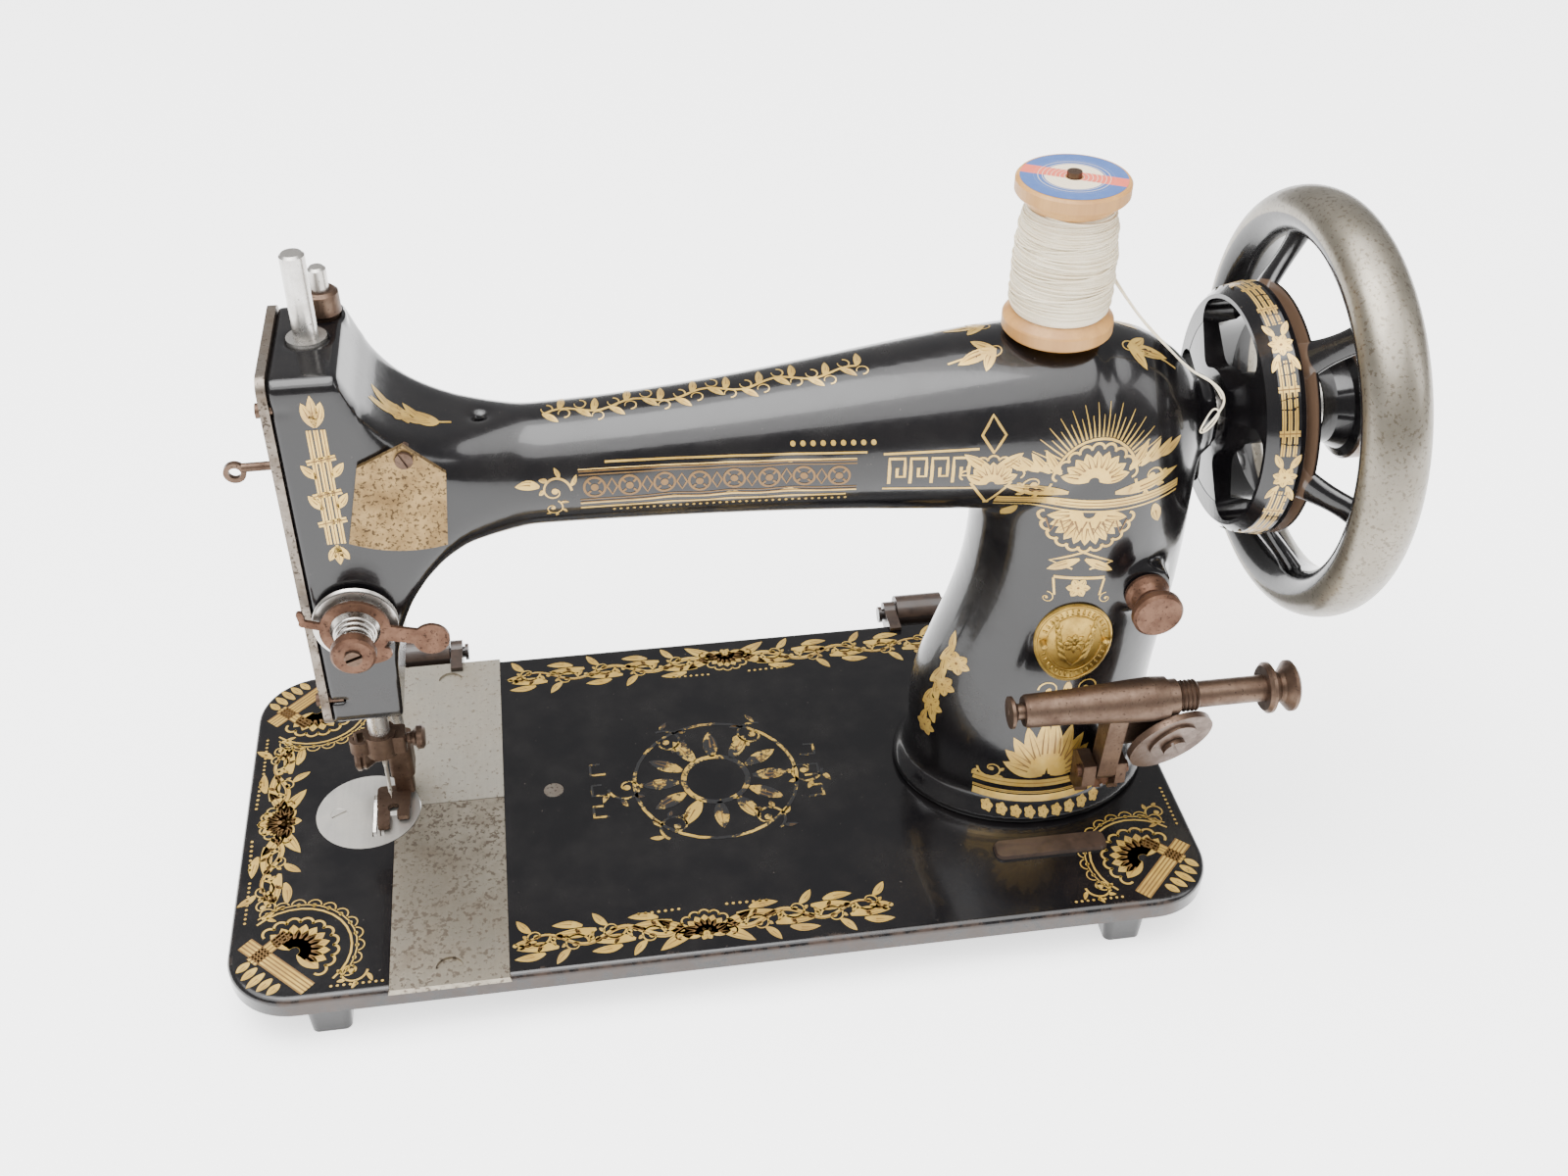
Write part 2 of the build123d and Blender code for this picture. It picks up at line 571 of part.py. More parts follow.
with BuildPart() as tension_discs:
    turn([(0.2, 3.0), (1.4, 3.0), (1.4, 9), (2.4, 13.8), (1.4, 14.4), (0.2, 9)], TENSION, FRONT)
    turn([(1.7, 3.0), (2.9, 3.0), (2.9, 9), (3.6, 14.2), (2.7, 14.2), (1.7, 9)], TENSION, FRONT)
save(tension_discs, "tension_discs")

with BuildPart() as tension_lever:
    with BuildSketch(Plane(origin=TENSION, x_dir=X, z_dir=FRONT).offset(5.0)):
        Circle(11.8)
        with Locations((13.5, -3.2)):
            Rectangle(14, 6, rotation=-15)
        with Locations((24.6, -6.5)):
            Circle(6.2)
        with Locations((-13.6, 3.6)):
            SlotOverall(9, 2.6, rotation=-20)
        with Locations((-16.8, 6.6)):
            SlotOverall(6, 2.2, rotation=100)
        with Locations((3, -11)):
            Ellipse(8, 4)
        Circle(8.3, mode=Mode.SUBTRACT)
        with Locations((0, -5)):
            Circle(3.4)
        Circle(3.05, mode=Mode.SUBTRACT)
    extrude(amount=1.3)
save(tension_lever, "tension_lever")

with BuildPart() as tension_spring:
    with BuildLine() as coil:
        Helix(pitch=2.0, height=7.6, radius=7.0, center=TENSION + Vector(0, -7.1, 0), direction=FRONT,
              cone_angle=-17)
    with BuildSketch(Plane(origin=coil.line @ 0, z_dir=coil.line % 0)):
        Circle(0.6)
    sweep()
save(tension_spring, "tension_spring")

with BuildPart() as tension_nut:
    turn([(15.6, 3.0), (20.6, 3.0), (20.6, 6.6), (19.8, 7.4), (17.2, 7.6), (16.4, 7.0), (15.6, 7.0)],
          TENSION, FRONT)
save(tension_nut, "tension_nut")

# ---- covers, badge and stitch regulator ---------------------------------------------------
with BuildPart() as inspection_cover:
    with BuildSketch(front(0, HEAD_FRONT - 0.2, 0)):
        with BuildLine():
            Polyline((-120, 153), (-113.5, 182), (-98.5, 189), (-86, 177.5), (-88.5, 149.5))
            ThreePointArc((-88.5, 149.5), (-104, 148.5), (-120, 153))
        make_face()
        with Locations((-98.5, 184)):
            Circle(1.7, mode=Mode.SUBTRACT)
    extrude(amount=1.8)
save(inspection_cover, "inspection_cover")

with BuildPart() as rear_cover:
    rod(35.2, 37.2, 20.5, at(PILLAR_X, 0, 70), Y)
    for side in (-1, 1):
        rod(30, 40, 1.55, at(PILLAR_X, 0, 70 + side * 18.9), Y, Mode.SUBTRACT)
save(rear_cover, "rear_cover")

with BuildPart() as cover_screws:
    for side in (-1, 1):
        rod(31, 37.2, 1.5, at(PILLAR_X, 0, 70 + side * 18.9), Y)
        slotted(37.2, 38.4, 2.4, 0.6, at(PILLAR_X, 0, 70 + side * 18.9), Y)
    for screw_z in (84, 203):
        rod(-8, 0, 1.55, at(HEAD_LEFT - 3, -25.6, screw_z), LEFT)
        slotted(0, 1.4, 2.4, 0.6, at(HEAD_LEFT - 3, -25.6, screw_z), LEFT)
    rod(-6, 2.1, 1.55, at(-98.5, HEAD_FRONT, 184), FRONT)
    slotted(2.1, 3.4, 2.9, 0.7, at(-98.5, HEAD_FRONT, 184), FRONT)
save(cover_screws, "cover_screws")

with BuildPart() as badge:
    with BuildSketch(front(BADGE_X, -20, BADGE_Z)):
        Ellipse(14.5, 17.5)
    extrude(amount=25)
    pillar_body(1.0, Mode.INTERSECT)
    pillar_body(0.02, Mode.SUBTRACT)
    for side in (-1, 1):
        rod(20, 45, 1.3, at(BADGE_X + side * 11.6, 0, BADGE_Z), FRONT, Mode.SUBTRACT)
save(badge, "badge")

with BuildPart() as badge_rivets:
    for side in (-1, 1):
        turn([(30, 0), (36.3, 0), (36.0, 0.9), (35.6, 1.3), (30, 1.3)], at(BADGE_X + side * 11.6, 0,
              BADGE_Z), FRONT)
save(badge_rivets, "badge_rivets")

with BuildPart() as stitch_regulator:
    turn([(-1, 0), (35, 0), (35, 8.2), (34, 9.2), (31.5, 9.2), (30, 8.2), (28.5, 6.0), (26, 5.4), (23.5,
          6.6), (22, 8.2),
          (20.6, 8.2), (20.3, 3.5), (-1, 3.5)], at(156, -15, 107), FRONT)
save(stitch_regulator, "stitch_regulator")

# ---- shuttle and feed, driven through the pillar ------------------------------------------
CAM_SIDE = CAM_X - 4                 # left face of cam and rocking lever
THROW = (CAM_MAX - CAM_MIN) / 2
ROCK = degrees(atan2(THROW, SHAFT_Z - ROCKER_Z))          # lean of the rocking lever at rest
BALL_REACH = ROCKER_Z - LINK_Z
BALL_Y = BALL_REACH * sin(radians(ROCK))
SWING = degrees(atan2(BALL_Y, CAM_X - SHUTTLE_PIVOT_X))   # turn of the shuttle lever at rest

with BuildPart() as shuttle_cam:
    with BuildSketch(end(CAM_SIDE, 0, SHAFT_Z)):
        with BuildLine():
            rim = []
            for step in range(-36, 36):
                angle = pi * step / 36
                radius = CAM_MIN + (CAM_MAX - CAM_MIN) * abs(angle) / pi
                rim.append((radius * cos(angle), radius * sin(angle)))
            Polyline(*rim, close=True)
        make_face()
        Circle(SHAFT_R, mode=Mode.SUBTRACT)
    extrude(amount=8)
save(shuttle_cam, "shuttle_cam")

lean = radians(ROCK)
LEVER_PLANE = Plane(origin=at(CAM_SIDE, 0, ROCKER_Z), x_dir=(0, cos(lean), sin(lean)), z_dir=X)
FORK = (CAM_MIN + CAM_MAX) / 2 + 0.5
with BuildPart() as rocking_lever:
    with BuildSketch(LEVER_PLANE):
        Circle(9)
        with Locations((0, 25)):
            Rectangle(9, 52)
        with Locations((0, -44)):
            Rectangle(9, 90)
        with Locations((0, 53)):
            Rectangle(2 * FORK + 7.4, 6)
        with Locations((-FORK - 2.3, 66), (FORK + 2.3, 66)):
            Rectangle(2.8, 28)
        with Locations((-FORK - 2, 74.6), (FORK + 2, 74.6)):
            Circle(2)
        Circle(4.05, mode=Mode.SUBTRACT)
    extrude(amount=8)
    turn([(85, 0), (BALL_REACH + 4, 0), (BALL_REACH + 3.6, 1.8), (BALL_REACH + 2.4, 3.2), (BALL_REACH, 4),
          (BALL_REACH - 2.4, 3.2), (BALL_REACH - 3.4, 2.2), (85, 2.6)],
         at(CAM_X, 0, ROCKER_Z), (0, sin(lean), -cos(lean)))
save(rocking_lever, "rocking_lever")

with BuildPart() as lever_pins:
    rod(101, 174, 4, at(0, 0, ROCKER_Z), X)
    rod(6, 15, 1.95, at(SHUTTLE_PIVOT_X, 0, 0), DOWN)
    rod(14.75, 19.0, 3, at(SHUTTLE_PIVOT_X, 0, 0), DOWN)
    rod(18.9, 21.5, 5.5, at(SHUTTLE_PIVOT_X, 0, 0), DOWN)
save(lever_pins, "lever_pins")

turned_by = radians(SWING)
SHUTTLE_LEVER_Z = LINK_Z - 1.8


def swing_plane(height):
    """Horizontal plane on the shuttle lever's pivot, turned with the lever at rest."""
    return Plane(origin=at(SHUTTLE_PIVOT_X, 0, height), x_dir=(cos(turned_by), sin(turned_by), 0), z_dir=Z)


with BuildPart() as shuttle_lever:
    with BuildSketch(swing_plane(SHUTTLE_LEVER_Z)):
        with Locations((-SHUTTLE_ARM / 2, 0)):
            SlotOverall(SHUTTLE_ARM + 12, 12)
        Circle(9)
        with Locations((16, 0)):
            Rectangle(18, 9)
        with Locations((31.5, 0)):
            Circle(8.5)
        with Locations((35.5, 0)):
            Rectangle(18.5, 9.4, mode=Mode.SUBTRACT)
        Circle(3.05, mode=Mode.SUBTRACT)
    extrude(amount=3.6)
    with BuildSketch(swing_plane(SHUTTLE_LEVER_Z + 3.6)):
        with Locations((-SHUTTLE_ARM, 0)):
            RectangleRounded(13, 46, 2)
    extrude(amount=1.4)
    with BuildSketch(swing_plane(SHUTTLE_LEVER_Z + 4.5)):
        with Locations((-SHUTTLE_ARM, 21.3), (-SHUTTLE_ARM, -21.3)):
            RectangleRounded(11, 3.2, 1)
    extrude(amount=8)
save(shuttle_lever, "shuttle_lever")

SHUTTLE_AT = swing_plane(-8.4).from_local_coords((-SHUTTLE_ARM, 0, 0))
SHUTTLE_WAY = swing_plane(-8.4).y_dir
with BuildPart() as shuttle:
    with BuildSketch(Plane(origin=SHUTTLE_AT, x_dir=SHUTTLE_WAY, z_dir=Z)):
        with BuildLine():
            Polyline((-16, 0), (18.5, 0), (17.5, 1.4), (10, 4.6), (4, 5.2), (-15, 5.2), (-16, 4.4), (-16, 0))
        make_face()
    revolve(axis=Axis(SHUTTLE_AT, SHUTTLE_WAY))
    with BuildSketch(Plane(origin=SHUTTLE_AT, x_dir=SHUTTLE_WAY, z_dir=Z)):
        with BuildLine():
            Polyline((-16.5, 0), (8, 0), (6, 3.8), (-16.5, 3.8), (-16.5, 0))
        make_face()
    revolve(axis=Axis(SHUTTLE_AT, SHUTTLE_WAY), mode=Mode.SUBTRACT)
save(shuttle, "shuttle")

with BuildPart() as shuttle_bobbin:
    with BuildSketch(Plane(origin=SHUTTLE_AT, x_dir=SHUTTLE_WAY, z_dir=Z)):
        with BuildLine():
            Polyline((-15.5, 0), (5.5, 0), (5.5, 3.4), (4.7, 3.4), (4.7, 1.3), (-14.7, 1.3), (-14.7, 3.4),
                     (-15.5, 3.4), (-15.5, 0))
        make_face()
    revolve(axis=Axis(SHUTTLE_AT, SHUTTLE_WAY))
save(shuttle_bobbin, "shuttle_bobbin")

FEED_Y = 10.0
with BuildPart() as feed_bar:
    with BuildSketch(level(0, 0, -22.6)):
        with Locations((-38, FEED_Y)):
            RectangleRounded(194, 8, 2)
        with Locations((-131.9, 3.2)):
            RectangleRounded(6.4, 21, 1)
    extrude(amount=3)
    with BuildSketch(level(-131.9, -1.5, -20)):
        Rectangle(5.4, 11)
    extrude(amount=14)
save(feed_bar, "feed_bar")

with BuildPart() as feed_dog:
    with BuildSketch(level(-131.9, -1.5, -6)):
        Rectangle(5.4, 17)
    extrude(amount=3)
    for row_x in (-133.4, -130.4):
        with BuildSketch(end(row_x - 0.6, 0, 0)):
            with BuildLine():
                teeth = [(-9.5, -3.2)]
                for tooth in range(11):
                    teeth += [(-9.5 + 1.4 * tooth, 0.1), (-8.2 + 1.4 * tooth, 0.9)]
                Polyline(*teeth, (5.9, -3.2), close=True)
            make_face()
        extrude(amount=1.2)
save(feed_dog, "feed_dog")

# ---- hand wheel ---------------------------------------------------------------------------
WHEEL = at(0, 0, SHAFT_Z)
SPOKES = 6
SPOKE_FIRST = 7.0        # angle of the first spoke, from the back upwards


def spoke_section(angle, reach, along, wide, thick):
    """Ellipse across a spoke, at one radius and one place along the shaft."""
    out = (0, cos(angle), sin(angle))
    centre = at(along, reach * cos(angle), SHAFT_Z + reach * sin(angle))
    with BuildSketch(Plane(origin=centre, x_dir=X, z_dir=out)) as ring:
        Ellipse(thick / 2, wide / 2)
    return ring.sketch


with BuildPart() as hand_wheel:
    tube(184.5, 219, SHAFT_R + RUN, 13, WHEEL, X)
    # belt pulley: a grooved ring on a web with three large windows
    turn([(187, 34), (188.5, 32.5), (206, 35), (206, 43.5), (205, 45.6), (203.6, 45.6), (201.8, 42.2),
          (200, 45.6), (198, 45.8), (191, 44.4), (187.6, 41.5)], WHEEL, X)
    turn([(184.5, 13), (187.4, 36), (193, 36), (193, 13)], WHEEL, X)
    for window in range(3):
        middle_angle = radians(85 + 120 * window)
        with BuildSketch(end(180, 0, SHAFT_Z)) as opening:
            Circle(40)
            Circle(15.5, mode=Mode.SUBTRACT)
            with BuildLine():
                wedge = [middle_angle - radians(45), middle_angle + radians(45)]
                Polyline((0, 0), *[(90 * cos(a), 90 * sin(a)) for a in wedge], close=True)
            make_face(mode=Mode.INTERSECT)
            fillet(opening.vertices(), 7)
        extrude(amount=20, mode=Mode.SUBTRACT)
    # rim
    with BuildSketch(front(WHEEL_X, 0, SHAFT_Z + WHEEL_R - 9)):
        Ellipse(11.7, 9)
    revolve(axis=Axis(WHEEL, X))
    for spoke in range(SPOKES):
        angle = radians(SPOKE_FIRST + 360 * spoke / SPOKES)
        loft([spoke_section(angle, 40.5, 202.0, 15, 6.5), spoke_section(angle, 47, 206.5, 11, 7.5),
              spoke_section(angle, 55, 212.5, 9.5, 7.5), spoke_section(angle, 62, 217.0, 12, 8.5)])
save(hand_wheel, "hand_wheel")

with BuildPart() as clutch_washer:
    tube(219.2, 220.8, SHAFT_R + 0.02, 13.5, WHEEL, X)
save(clutch_washer, "clutch_washer")

with BuildPart() as stop_motion_knob:
    turn([(221.2, 5.05), (240.5, 5.05), (240.5, 14), (241, 19.5), (240, 21), (233.5, 21), (232.5, 20),
          (231, 17),
          (226, 14.4), (221.2, 13.6)], WHEEL, X)
    slotted(240.4, 242.0, 3.0, 0.8, at(0, 9.5, SHAFT_Z), X)
save(stop_motion_knob, "stop_motion_knob")

# ---- bobbin winder ------------------------------------------------------------------------
SPINDLE = at(0, WINDER_Y, WINDER_Z)
WINDER_PIVOT = at(0, -46, 31)
GEAR = at(168, -52.6, 48.6)
GEAR_TURN = Vector(0.2, -0.92, -0.31).normalized()     # axis of the counting gear, outwards
GEAR_WAY = (GEAR_TURN.X, GEAR_TURN.Y, GEAR_TURN.Z)
WINDER_SPIN_R = 3.5

with BuildPart() as winder_bracket:
    for cheek_x, cheek in ((137, 5), (150, 4)):
        with BuildSketch(end(cheek_x, 0, 0)):
            with BuildLine():
                Polyline((-34, 18), (-34, 31), (-40, 36), (-50, 36), (-50, 26), (-44, 20), (-44, 18),
                         close=True)
            make_face()
        extrude(amount=cheek)
    with BuildSketch(front(146, -30, 23)):
        RectangleRounded(17, 10, 2)
    extrude(amount=11.5)
    rod(120, 160, 2.5, WINDER_PIVOT, X, Mode.SUBTRACT)
    rod(0, 40, 2.55, at(146, -60, 23), Y, Mode.SUBTRACT)
    pillar_body(0.05, Mode.SUBTRACT)
save(winder_bracket, "winder_bracket")

with BuildPart() as winder_screws:
    rod(-14, 3.6, 2.5, at(146, -38, 23), FRONT)
    slotted(3.6, 6.5, 3.8, 1.2, at(146, -38, 23), FRONT)
    rod(135.5, 155.5, 2.5, WINDER_PIVOT, X)
save(winder_screws, "winder_screws")

with BuildPart() as winder_frame:
    turn([(110, 0), (164, 0), (164, 8), (158, 8.4), (150, 8), (128, 6.6), (111, 6.2), (110, 5.6)], SPINDLE, X)
    with BuildSketch(end(142.4, 0, 0)):
        with BuildLine():
            Polyline((-55, 66), (-45, 66), (-42, 31), (-44, 27.5), (-48, 27.5), (-50.5, 31), close=True)
        make_face()
    extrude(amount=7.2)
    with BuildSketch(Plane(origin=GEAR, z_dir=GEAR_TURN).offset(-2)):
        Circle(7)
    extrude(amount=-6)
    with BuildSketch(end(146, 0, 0)):
        with BuildLine():
            Polyline((-51, 60), (-43, 60), (-42.5, 47), (-47.5, 44), (-49.5, 47), close=True)
        make_face()
    extrude(amount=18)
    rod(-1.9, 1.5, 17.3, GEAR, GEAR_WAY, Mode.SUBTRACT)
    rod(100, 170, WINDER_SPIN_R + RUN, SPINDLE, X, Mode.SUBTRACT)
    rod(-12, 8, 2.5, GEAR, GEAR_WAY, Mode.SUBTRACT)
    rod(120, 160, 2.55, WINDER_PIVOT, X, Mode.SUBTRACT)
save(winder_frame, "winder_frame")

with BuildPart() as winder_spindle:
    turn([(104.5, 0), (213.4, 0), (213.4, 8.4), (212.4, 9.6), (211.2, 9.6), (208.6, 6.4), (207.4, 5.4),
          (206.2, 6.4), (204, 9.6), (202.8, 9.6), (201.6, 8.4), (201.6, 5), (175.5, 5), (175.5, 5.6),
          (175, 6),
          (174.4, 5.2), (173.6, 6), (172.8, 5.2), (172, 6), (171.2, 5.2), (170.4, 6), (169.6, 5.2),
          (168.8, 6),
          (168.3, 5.4), (168, 6.8), (164.1, 6.8), (164.1, WINDER_SPIN_R), (109.9, WINDER_SPIN_R),
          (109.9, 3), (107.6, 3), (106, 6), (104.8, 6)], SPINDLE, X)
save(winder_spindle, "winder_spindle")

with BuildPart() as winder_gear:
    with BuildSketch(Plane(origin=GEAR, z_dir=GEAR_TURN).offset(-1.6)):
        Circle(16.9)
    extrude(amount=2.6)
    with BuildSketch(Plane(origin=GEAR, z_dir=GEAR_TURN).offset(1)):
        with BuildLine():
            edge = []
            for step in range(-24, 24):
                swept = pi * step / 24
                reach = 6.4 + 6.0 * abs(swept) / pi
                edge.append((reach * cos(swept), reach * sin(swept)))
            Polyline(*edge, close=True)
        make_face()
    extrude(amount=1.2)
    rod(-8, 8, 2.55, GEAR, GEAR_WAY, Mode.SUBTRACT)
save(winder_gear, "winder_gear")

with BuildPart() as winder_gear_screw:
    rod(-7, 3, 2.5, GEAR, GEAR_WAY)
    slotted(2.4, 4.2, 4.6, 1.0, GEAR, GEAR_WAY)
save(winder_gear_screw, "winder_gear_screw")

# ---- spool and thread ---------------------------------------------------------------------
SPOOL = at(SPOOL_X, 0, SPOOL_BASE)

with BuildPart() as spool_pin:
    rod(-13.5, SPOOL_HEIGHT + 2, 2.5, SPOOL, Z)
save(spool_pin, "spool_pin")

with BuildPart() as spool:
    turn([(0, 2.55), (0, 18.3), (0.8, 19), (4.6, 19), (5.2, 18.6), (10.5, 12.8), (11, 9.5),
          (SPOOL_HEIGHT - 11, 9.5), (SPOOL_HEIGHT - 10.5, 12.8), (SPOOL_HEIGHT - 5.2, 18.6),
          (SPOOL_HEIGHT - 4.6, 19), (SPOOL_HEIGHT - 0.8, 19), (SPOOL_HEIGHT, 18.3), (SPOOL_HEIGHT,
          2.55)], SPOOL, Z)
save(spool, "spool")

with BuildPart() as spool_thread:
    turn([(11.1, 9.5), (10.65, 12.8), (7.9, 15.9), (9, 16.7), (15, 17), (30, 16.7), (39, 15.8), (45, 14.6),
          (SPOOL_HEIGHT - 10.4, 13.1), (SPOOL_HEIGHT - 10.7, 12.8), (SPOOL_HEIGHT - 11.1, 9.5)], SPOOL, Z)
save(spool_thread, "spool_thread")

# Loose end of the thread, from the winding over the pillar's shoulder, a free loop at the end.
THREAD_R = 0.4
TAIL = [(140.1, -1, 217), (144.6, -10, 209.5), (155.6, -14, 198), (165.9, -17, 187.5), (171.3, -22, 186.6),
        (177.0, -24, 181.5), (176.8, -25, 175.5), (170.5, -26, 168.5)]
tail_points = [Vector(*at(*place)) for place in TAIL]
tail_radii = []
for before, corner, after in zip(tail_points, tail_points[1:], tail_points[2:]):
    bend = radians((corner - before).get_angle(after - corner))
    tail_radii.append(0.45 * min((corner - before).length, (after - corner).length) / tan(bend / 2))
with BuildPart() as thread_tail:
    with BuildLine() as tail_path:
        FilletPolyline(*tail_points, radius=tail_radii)
    with BuildSketch(Plane(origin=tail_path.line @ 0, z_dir=tail_path.line % 0)) as strand:
        Circle(THREAD_R)
    sweep()
save(thread_tail, "thread_tail")
print("thread tail bend radii", [round(radius, 2) for radius in tail_radii])
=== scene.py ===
"""Treadle sewing machine head.

Japanned castings with gilt ornament, worn nickel and steel, and a wooden thread spool.
"""
from math import cos, hypot, pi, radians, sin

import bmesh
import bpy
from mathutils import Matrix, Vector
from mathutils.bvhtree import BVHTree


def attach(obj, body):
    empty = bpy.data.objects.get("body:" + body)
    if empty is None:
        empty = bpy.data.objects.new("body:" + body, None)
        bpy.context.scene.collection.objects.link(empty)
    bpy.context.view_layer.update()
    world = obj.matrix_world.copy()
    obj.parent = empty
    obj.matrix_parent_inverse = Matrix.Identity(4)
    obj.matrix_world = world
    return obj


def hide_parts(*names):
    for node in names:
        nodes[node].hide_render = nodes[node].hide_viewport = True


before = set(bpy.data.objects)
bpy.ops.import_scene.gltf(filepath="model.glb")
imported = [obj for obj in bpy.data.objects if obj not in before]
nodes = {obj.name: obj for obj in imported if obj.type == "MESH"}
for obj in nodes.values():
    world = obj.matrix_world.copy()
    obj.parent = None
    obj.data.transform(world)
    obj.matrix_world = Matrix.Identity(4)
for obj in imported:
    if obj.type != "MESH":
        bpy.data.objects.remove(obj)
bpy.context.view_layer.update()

MM = 0.001
BED = Vector((-28.93, -9.2, 24.0))       # middle of the bed's top face, in the row frame, mm
BED_HALF = (184.15, 88.9)
SHAFT_Z = 159.5
SPOOL = (122.5, 198.6, 54.5)             # X, base and height of the spool


def at(x, y, z):
    """A place given from the bed in mm, in the row frame in metres."""
    return (Vector((x, y, z)) + BED) * MM


def new_object(name, data):
    """An object in the scene with this data."""
    obj = bpy.data.objects.new(name, data)
    bpy.context.scene.collection.objects.link(obj)
    return obj


def smooth(mesh):
    for polygon in mesh.polygons:
        polygon.use_smooth = True


def around(u, v, radius, degrees, squeeze=1.0):
    """The point at an angle on a circle, or on an oval narrowed along u."""
    angle = radians(degrees)
    return u + radius * squeeze * cos(angle), v + radius * sin(angle)


# ---- camera -------------------------------------------------------------------------------
CAMERA_AT = (-50.2, -495.1, 482.9)
AZIMUTH, ELEVATION, ROLL = radians(-9.09), radians(37.686), radians(0.599)
SENSOR_WIDTH, LENS = 36.0, 39.05          # mm


def make_camera():
    back = Vector((sin(AZIMUTH) * cos(ELEVATION), -cos(AZIMUTH) * cos(ELEVATION), sin(ELEVATION)))
    right = Vector((0, 0, 1)).cross(back).normalized()
    up = back.cross(right)
    right, up = cos(ROLL) * right + sin(ROLL) * up, cos(ROLL) * up - sin(ROLL) * right
    data = bpy.data.cameras.new("camera")
    data.sensor_width = SENSOR_WIDTH
    data.lens = LENS
    data.clip_start = 0.01
    camera = new_object("camera", data)
    turned = Matrix((right, up, back)).transposed().to_4x4()
    camera.matrix_world = Matrix.Translation(at(*CAMERA_AT)) @ turned
    bpy.context.scene.camera = camera


make_camera()


# ---- materials ----------------------------------------------------------------------------
class Shade:
    """A Principled material with short calls for the nodes used below. Coordinates are object metres."""

    def __init__(self, name, **values):
        self.material = bpy.data.materials.new(name)
        self.material.use_nodes = True
        self.tree = self.material.node_tree
        self.surface = self.tree.nodes["Principled BSDF"]
        self.place = self.tree.nodes.new("ShaderNodeTexCoord").outputs["Object"]
        for socket, value in values.items():
            self.set(socket.replace("_", " "), value)

    def set(self, socket, value):
        target = self.surface.inputs[socket]
        if hasattr(value, "is_output"):
            self.tree.links.new(value, target)
        elif isinstance(value, tuple):
            target.default_value = (*value, 1.0)
        else:
            target.default_value = value

    def feed(self, node, socket, value):
        if hasattr(value, "is_output"):
            self.tree.links.new(value, node.inputs[socket])
        elif isinstance(value, tuple) and len(value) == 3 and node.inputs[socket].type == "RGBA":
            node.inputs[socket].default_value = (*value, 1.0)
        else:
            node.inputs[socket].default_value = value

    def stretched(self, scale, offset=(0, 0, 0)):
        node = self.tree.nodes.new("ShaderNodeMapping")
        self.feed(node, "Vector", self.place)
        self.feed(node, "Scale", scale)
        self.feed(node, "Location", offset)
        return node.outputs["Vector"]

    def noise(self, size, detail=4.0, roughness=0.6, where=None, seed=0.0):
        """Noise whose features are about this many mm across."""
        node = self.tree.nodes.new("ShaderNodeTexNoise")
        node.noise_dimensions = "4D"
        self.feed(node, "Vector", where or self.place)
        self.feed(node, "W", seed)
        self.feed(node, "Scale", 1000.0 / size)
        self.feed(node, "Detail", detail)
        self.feed(node, "Roughness", roughness)
        return node.outputs["Fac"]

    def between(self, value, low, high, start=0.0, stop=1.0):
        node = self.tree.nodes.new("ShaderNodeMapRange")
        self.feed(node, 0, value)
        for socket, number in zip((1, 2, 3, 4), (low, high, start, stop)):
            self.feed(node, socket, number)
        return node.outputs[0]

    def calc(self, operation, first, second=0.0):
        node = self.tree.nodes.new("ShaderNodeMath")
        node.operation = operation
        self.feed(node, 0, first)
        self.feed(node, 1, second)
        return node.outputs[0]

    def mix(self, factor, first, second):
        node = self.tree.nodes.new("ShaderNodeMix")
        node.data_type = "RGBA"
        self.feed(node, 0, factor)
        self.feed(node, 6, first)
        self.feed(node, 7, second)
        return node.outputs[2]

    def split(self):
        """X, Y and Z of the place, in mm from the middle of the bed's top face."""
        node = self.tree.nodes.new("ShaderNodeSeparateXYZ")
        self.feed(node, 0, self.place)
        return [self.calc("SUBTRACT", self.calc("MULTIPLY", out, 1000.0), BED[k])
                for k, out in enumerate(node.outputs)]

    def bump(self, height, strength, distance_mm):
        node = self.tree.nodes.new("ShaderNodeBump")
        self.feed(node, "Strength", strength)
        self.feed(node, "Distance", distance_mm * MM)
        self.feed(node, "Height", height)
        self.set("Normal", node.outputs["Normal"])


ENAMEL = (0.0035, 0.0032, 0.0038)
SCUFFED = (0.010, 0.008, 0.007)
DUST = (0.12, 0.10, 0.085)
GILT = (0.50, 0.30, 0.05)
GILT_DARK = (0.24, 0.13, 0.035)


def enamel(name, worn=None, extra=None):
    """Black stoved enamel: fine orange peel, dust specks, faint scuffs.

    worn(s) gives a mask of brown bare iron, and extra(s, colour, rough) a new colour, roughness and metallic.
    """
    s = Shade(name, Coat_Weight=0.3, Coat_Roughness=0.06, Specular_IOR_Level=0.35)
    scuffs = s.between(s.noise(26, 6, 0.65), 0.42, 0.75)
    specks = s.between(s.noise(1.3, 2, 0.5, seed=4.0), 0.735, 0.76)
    colour = s.mix(s.calc("MULTIPLY", scuffs, 0.5), ENAMEL, SCUFFED)
    colour = s.mix(s.calc("MULTIPLY", specks, 0.35), colour, DUST)
    rough = s.between(scuffs, 0.0, 1.0, 0.17, 0.34)
    metal = None
    if worn:
        mask = worn(s)
        rust = s.mix(s.noise(5, 5, 0.7, seed=2.0), (0.012, 0.008, 0.006), (0.050, 0.028, 0.018))
        colour = s.mix(mask, colour, rust)
        rough = s.calc("ADD", rough, s.calc("MULTIPLY", mask, 0.3))
    if extra:
        colour, rough, metal = extra(s, colour, rough)
    s.set("Base Color", colour)
    s.set("Roughness", rough)
    if metal is not None:
        s.set("Metallic", metal)
    peel, waves = s.noise(2.6, 2, 0.5), s.noise(30, 3, 0.5)
    s.bump(s.calc("ADD", peel, s.calc("MULTIPLY", waves, 1.6)), 0.35, 0.12)
    return s.material


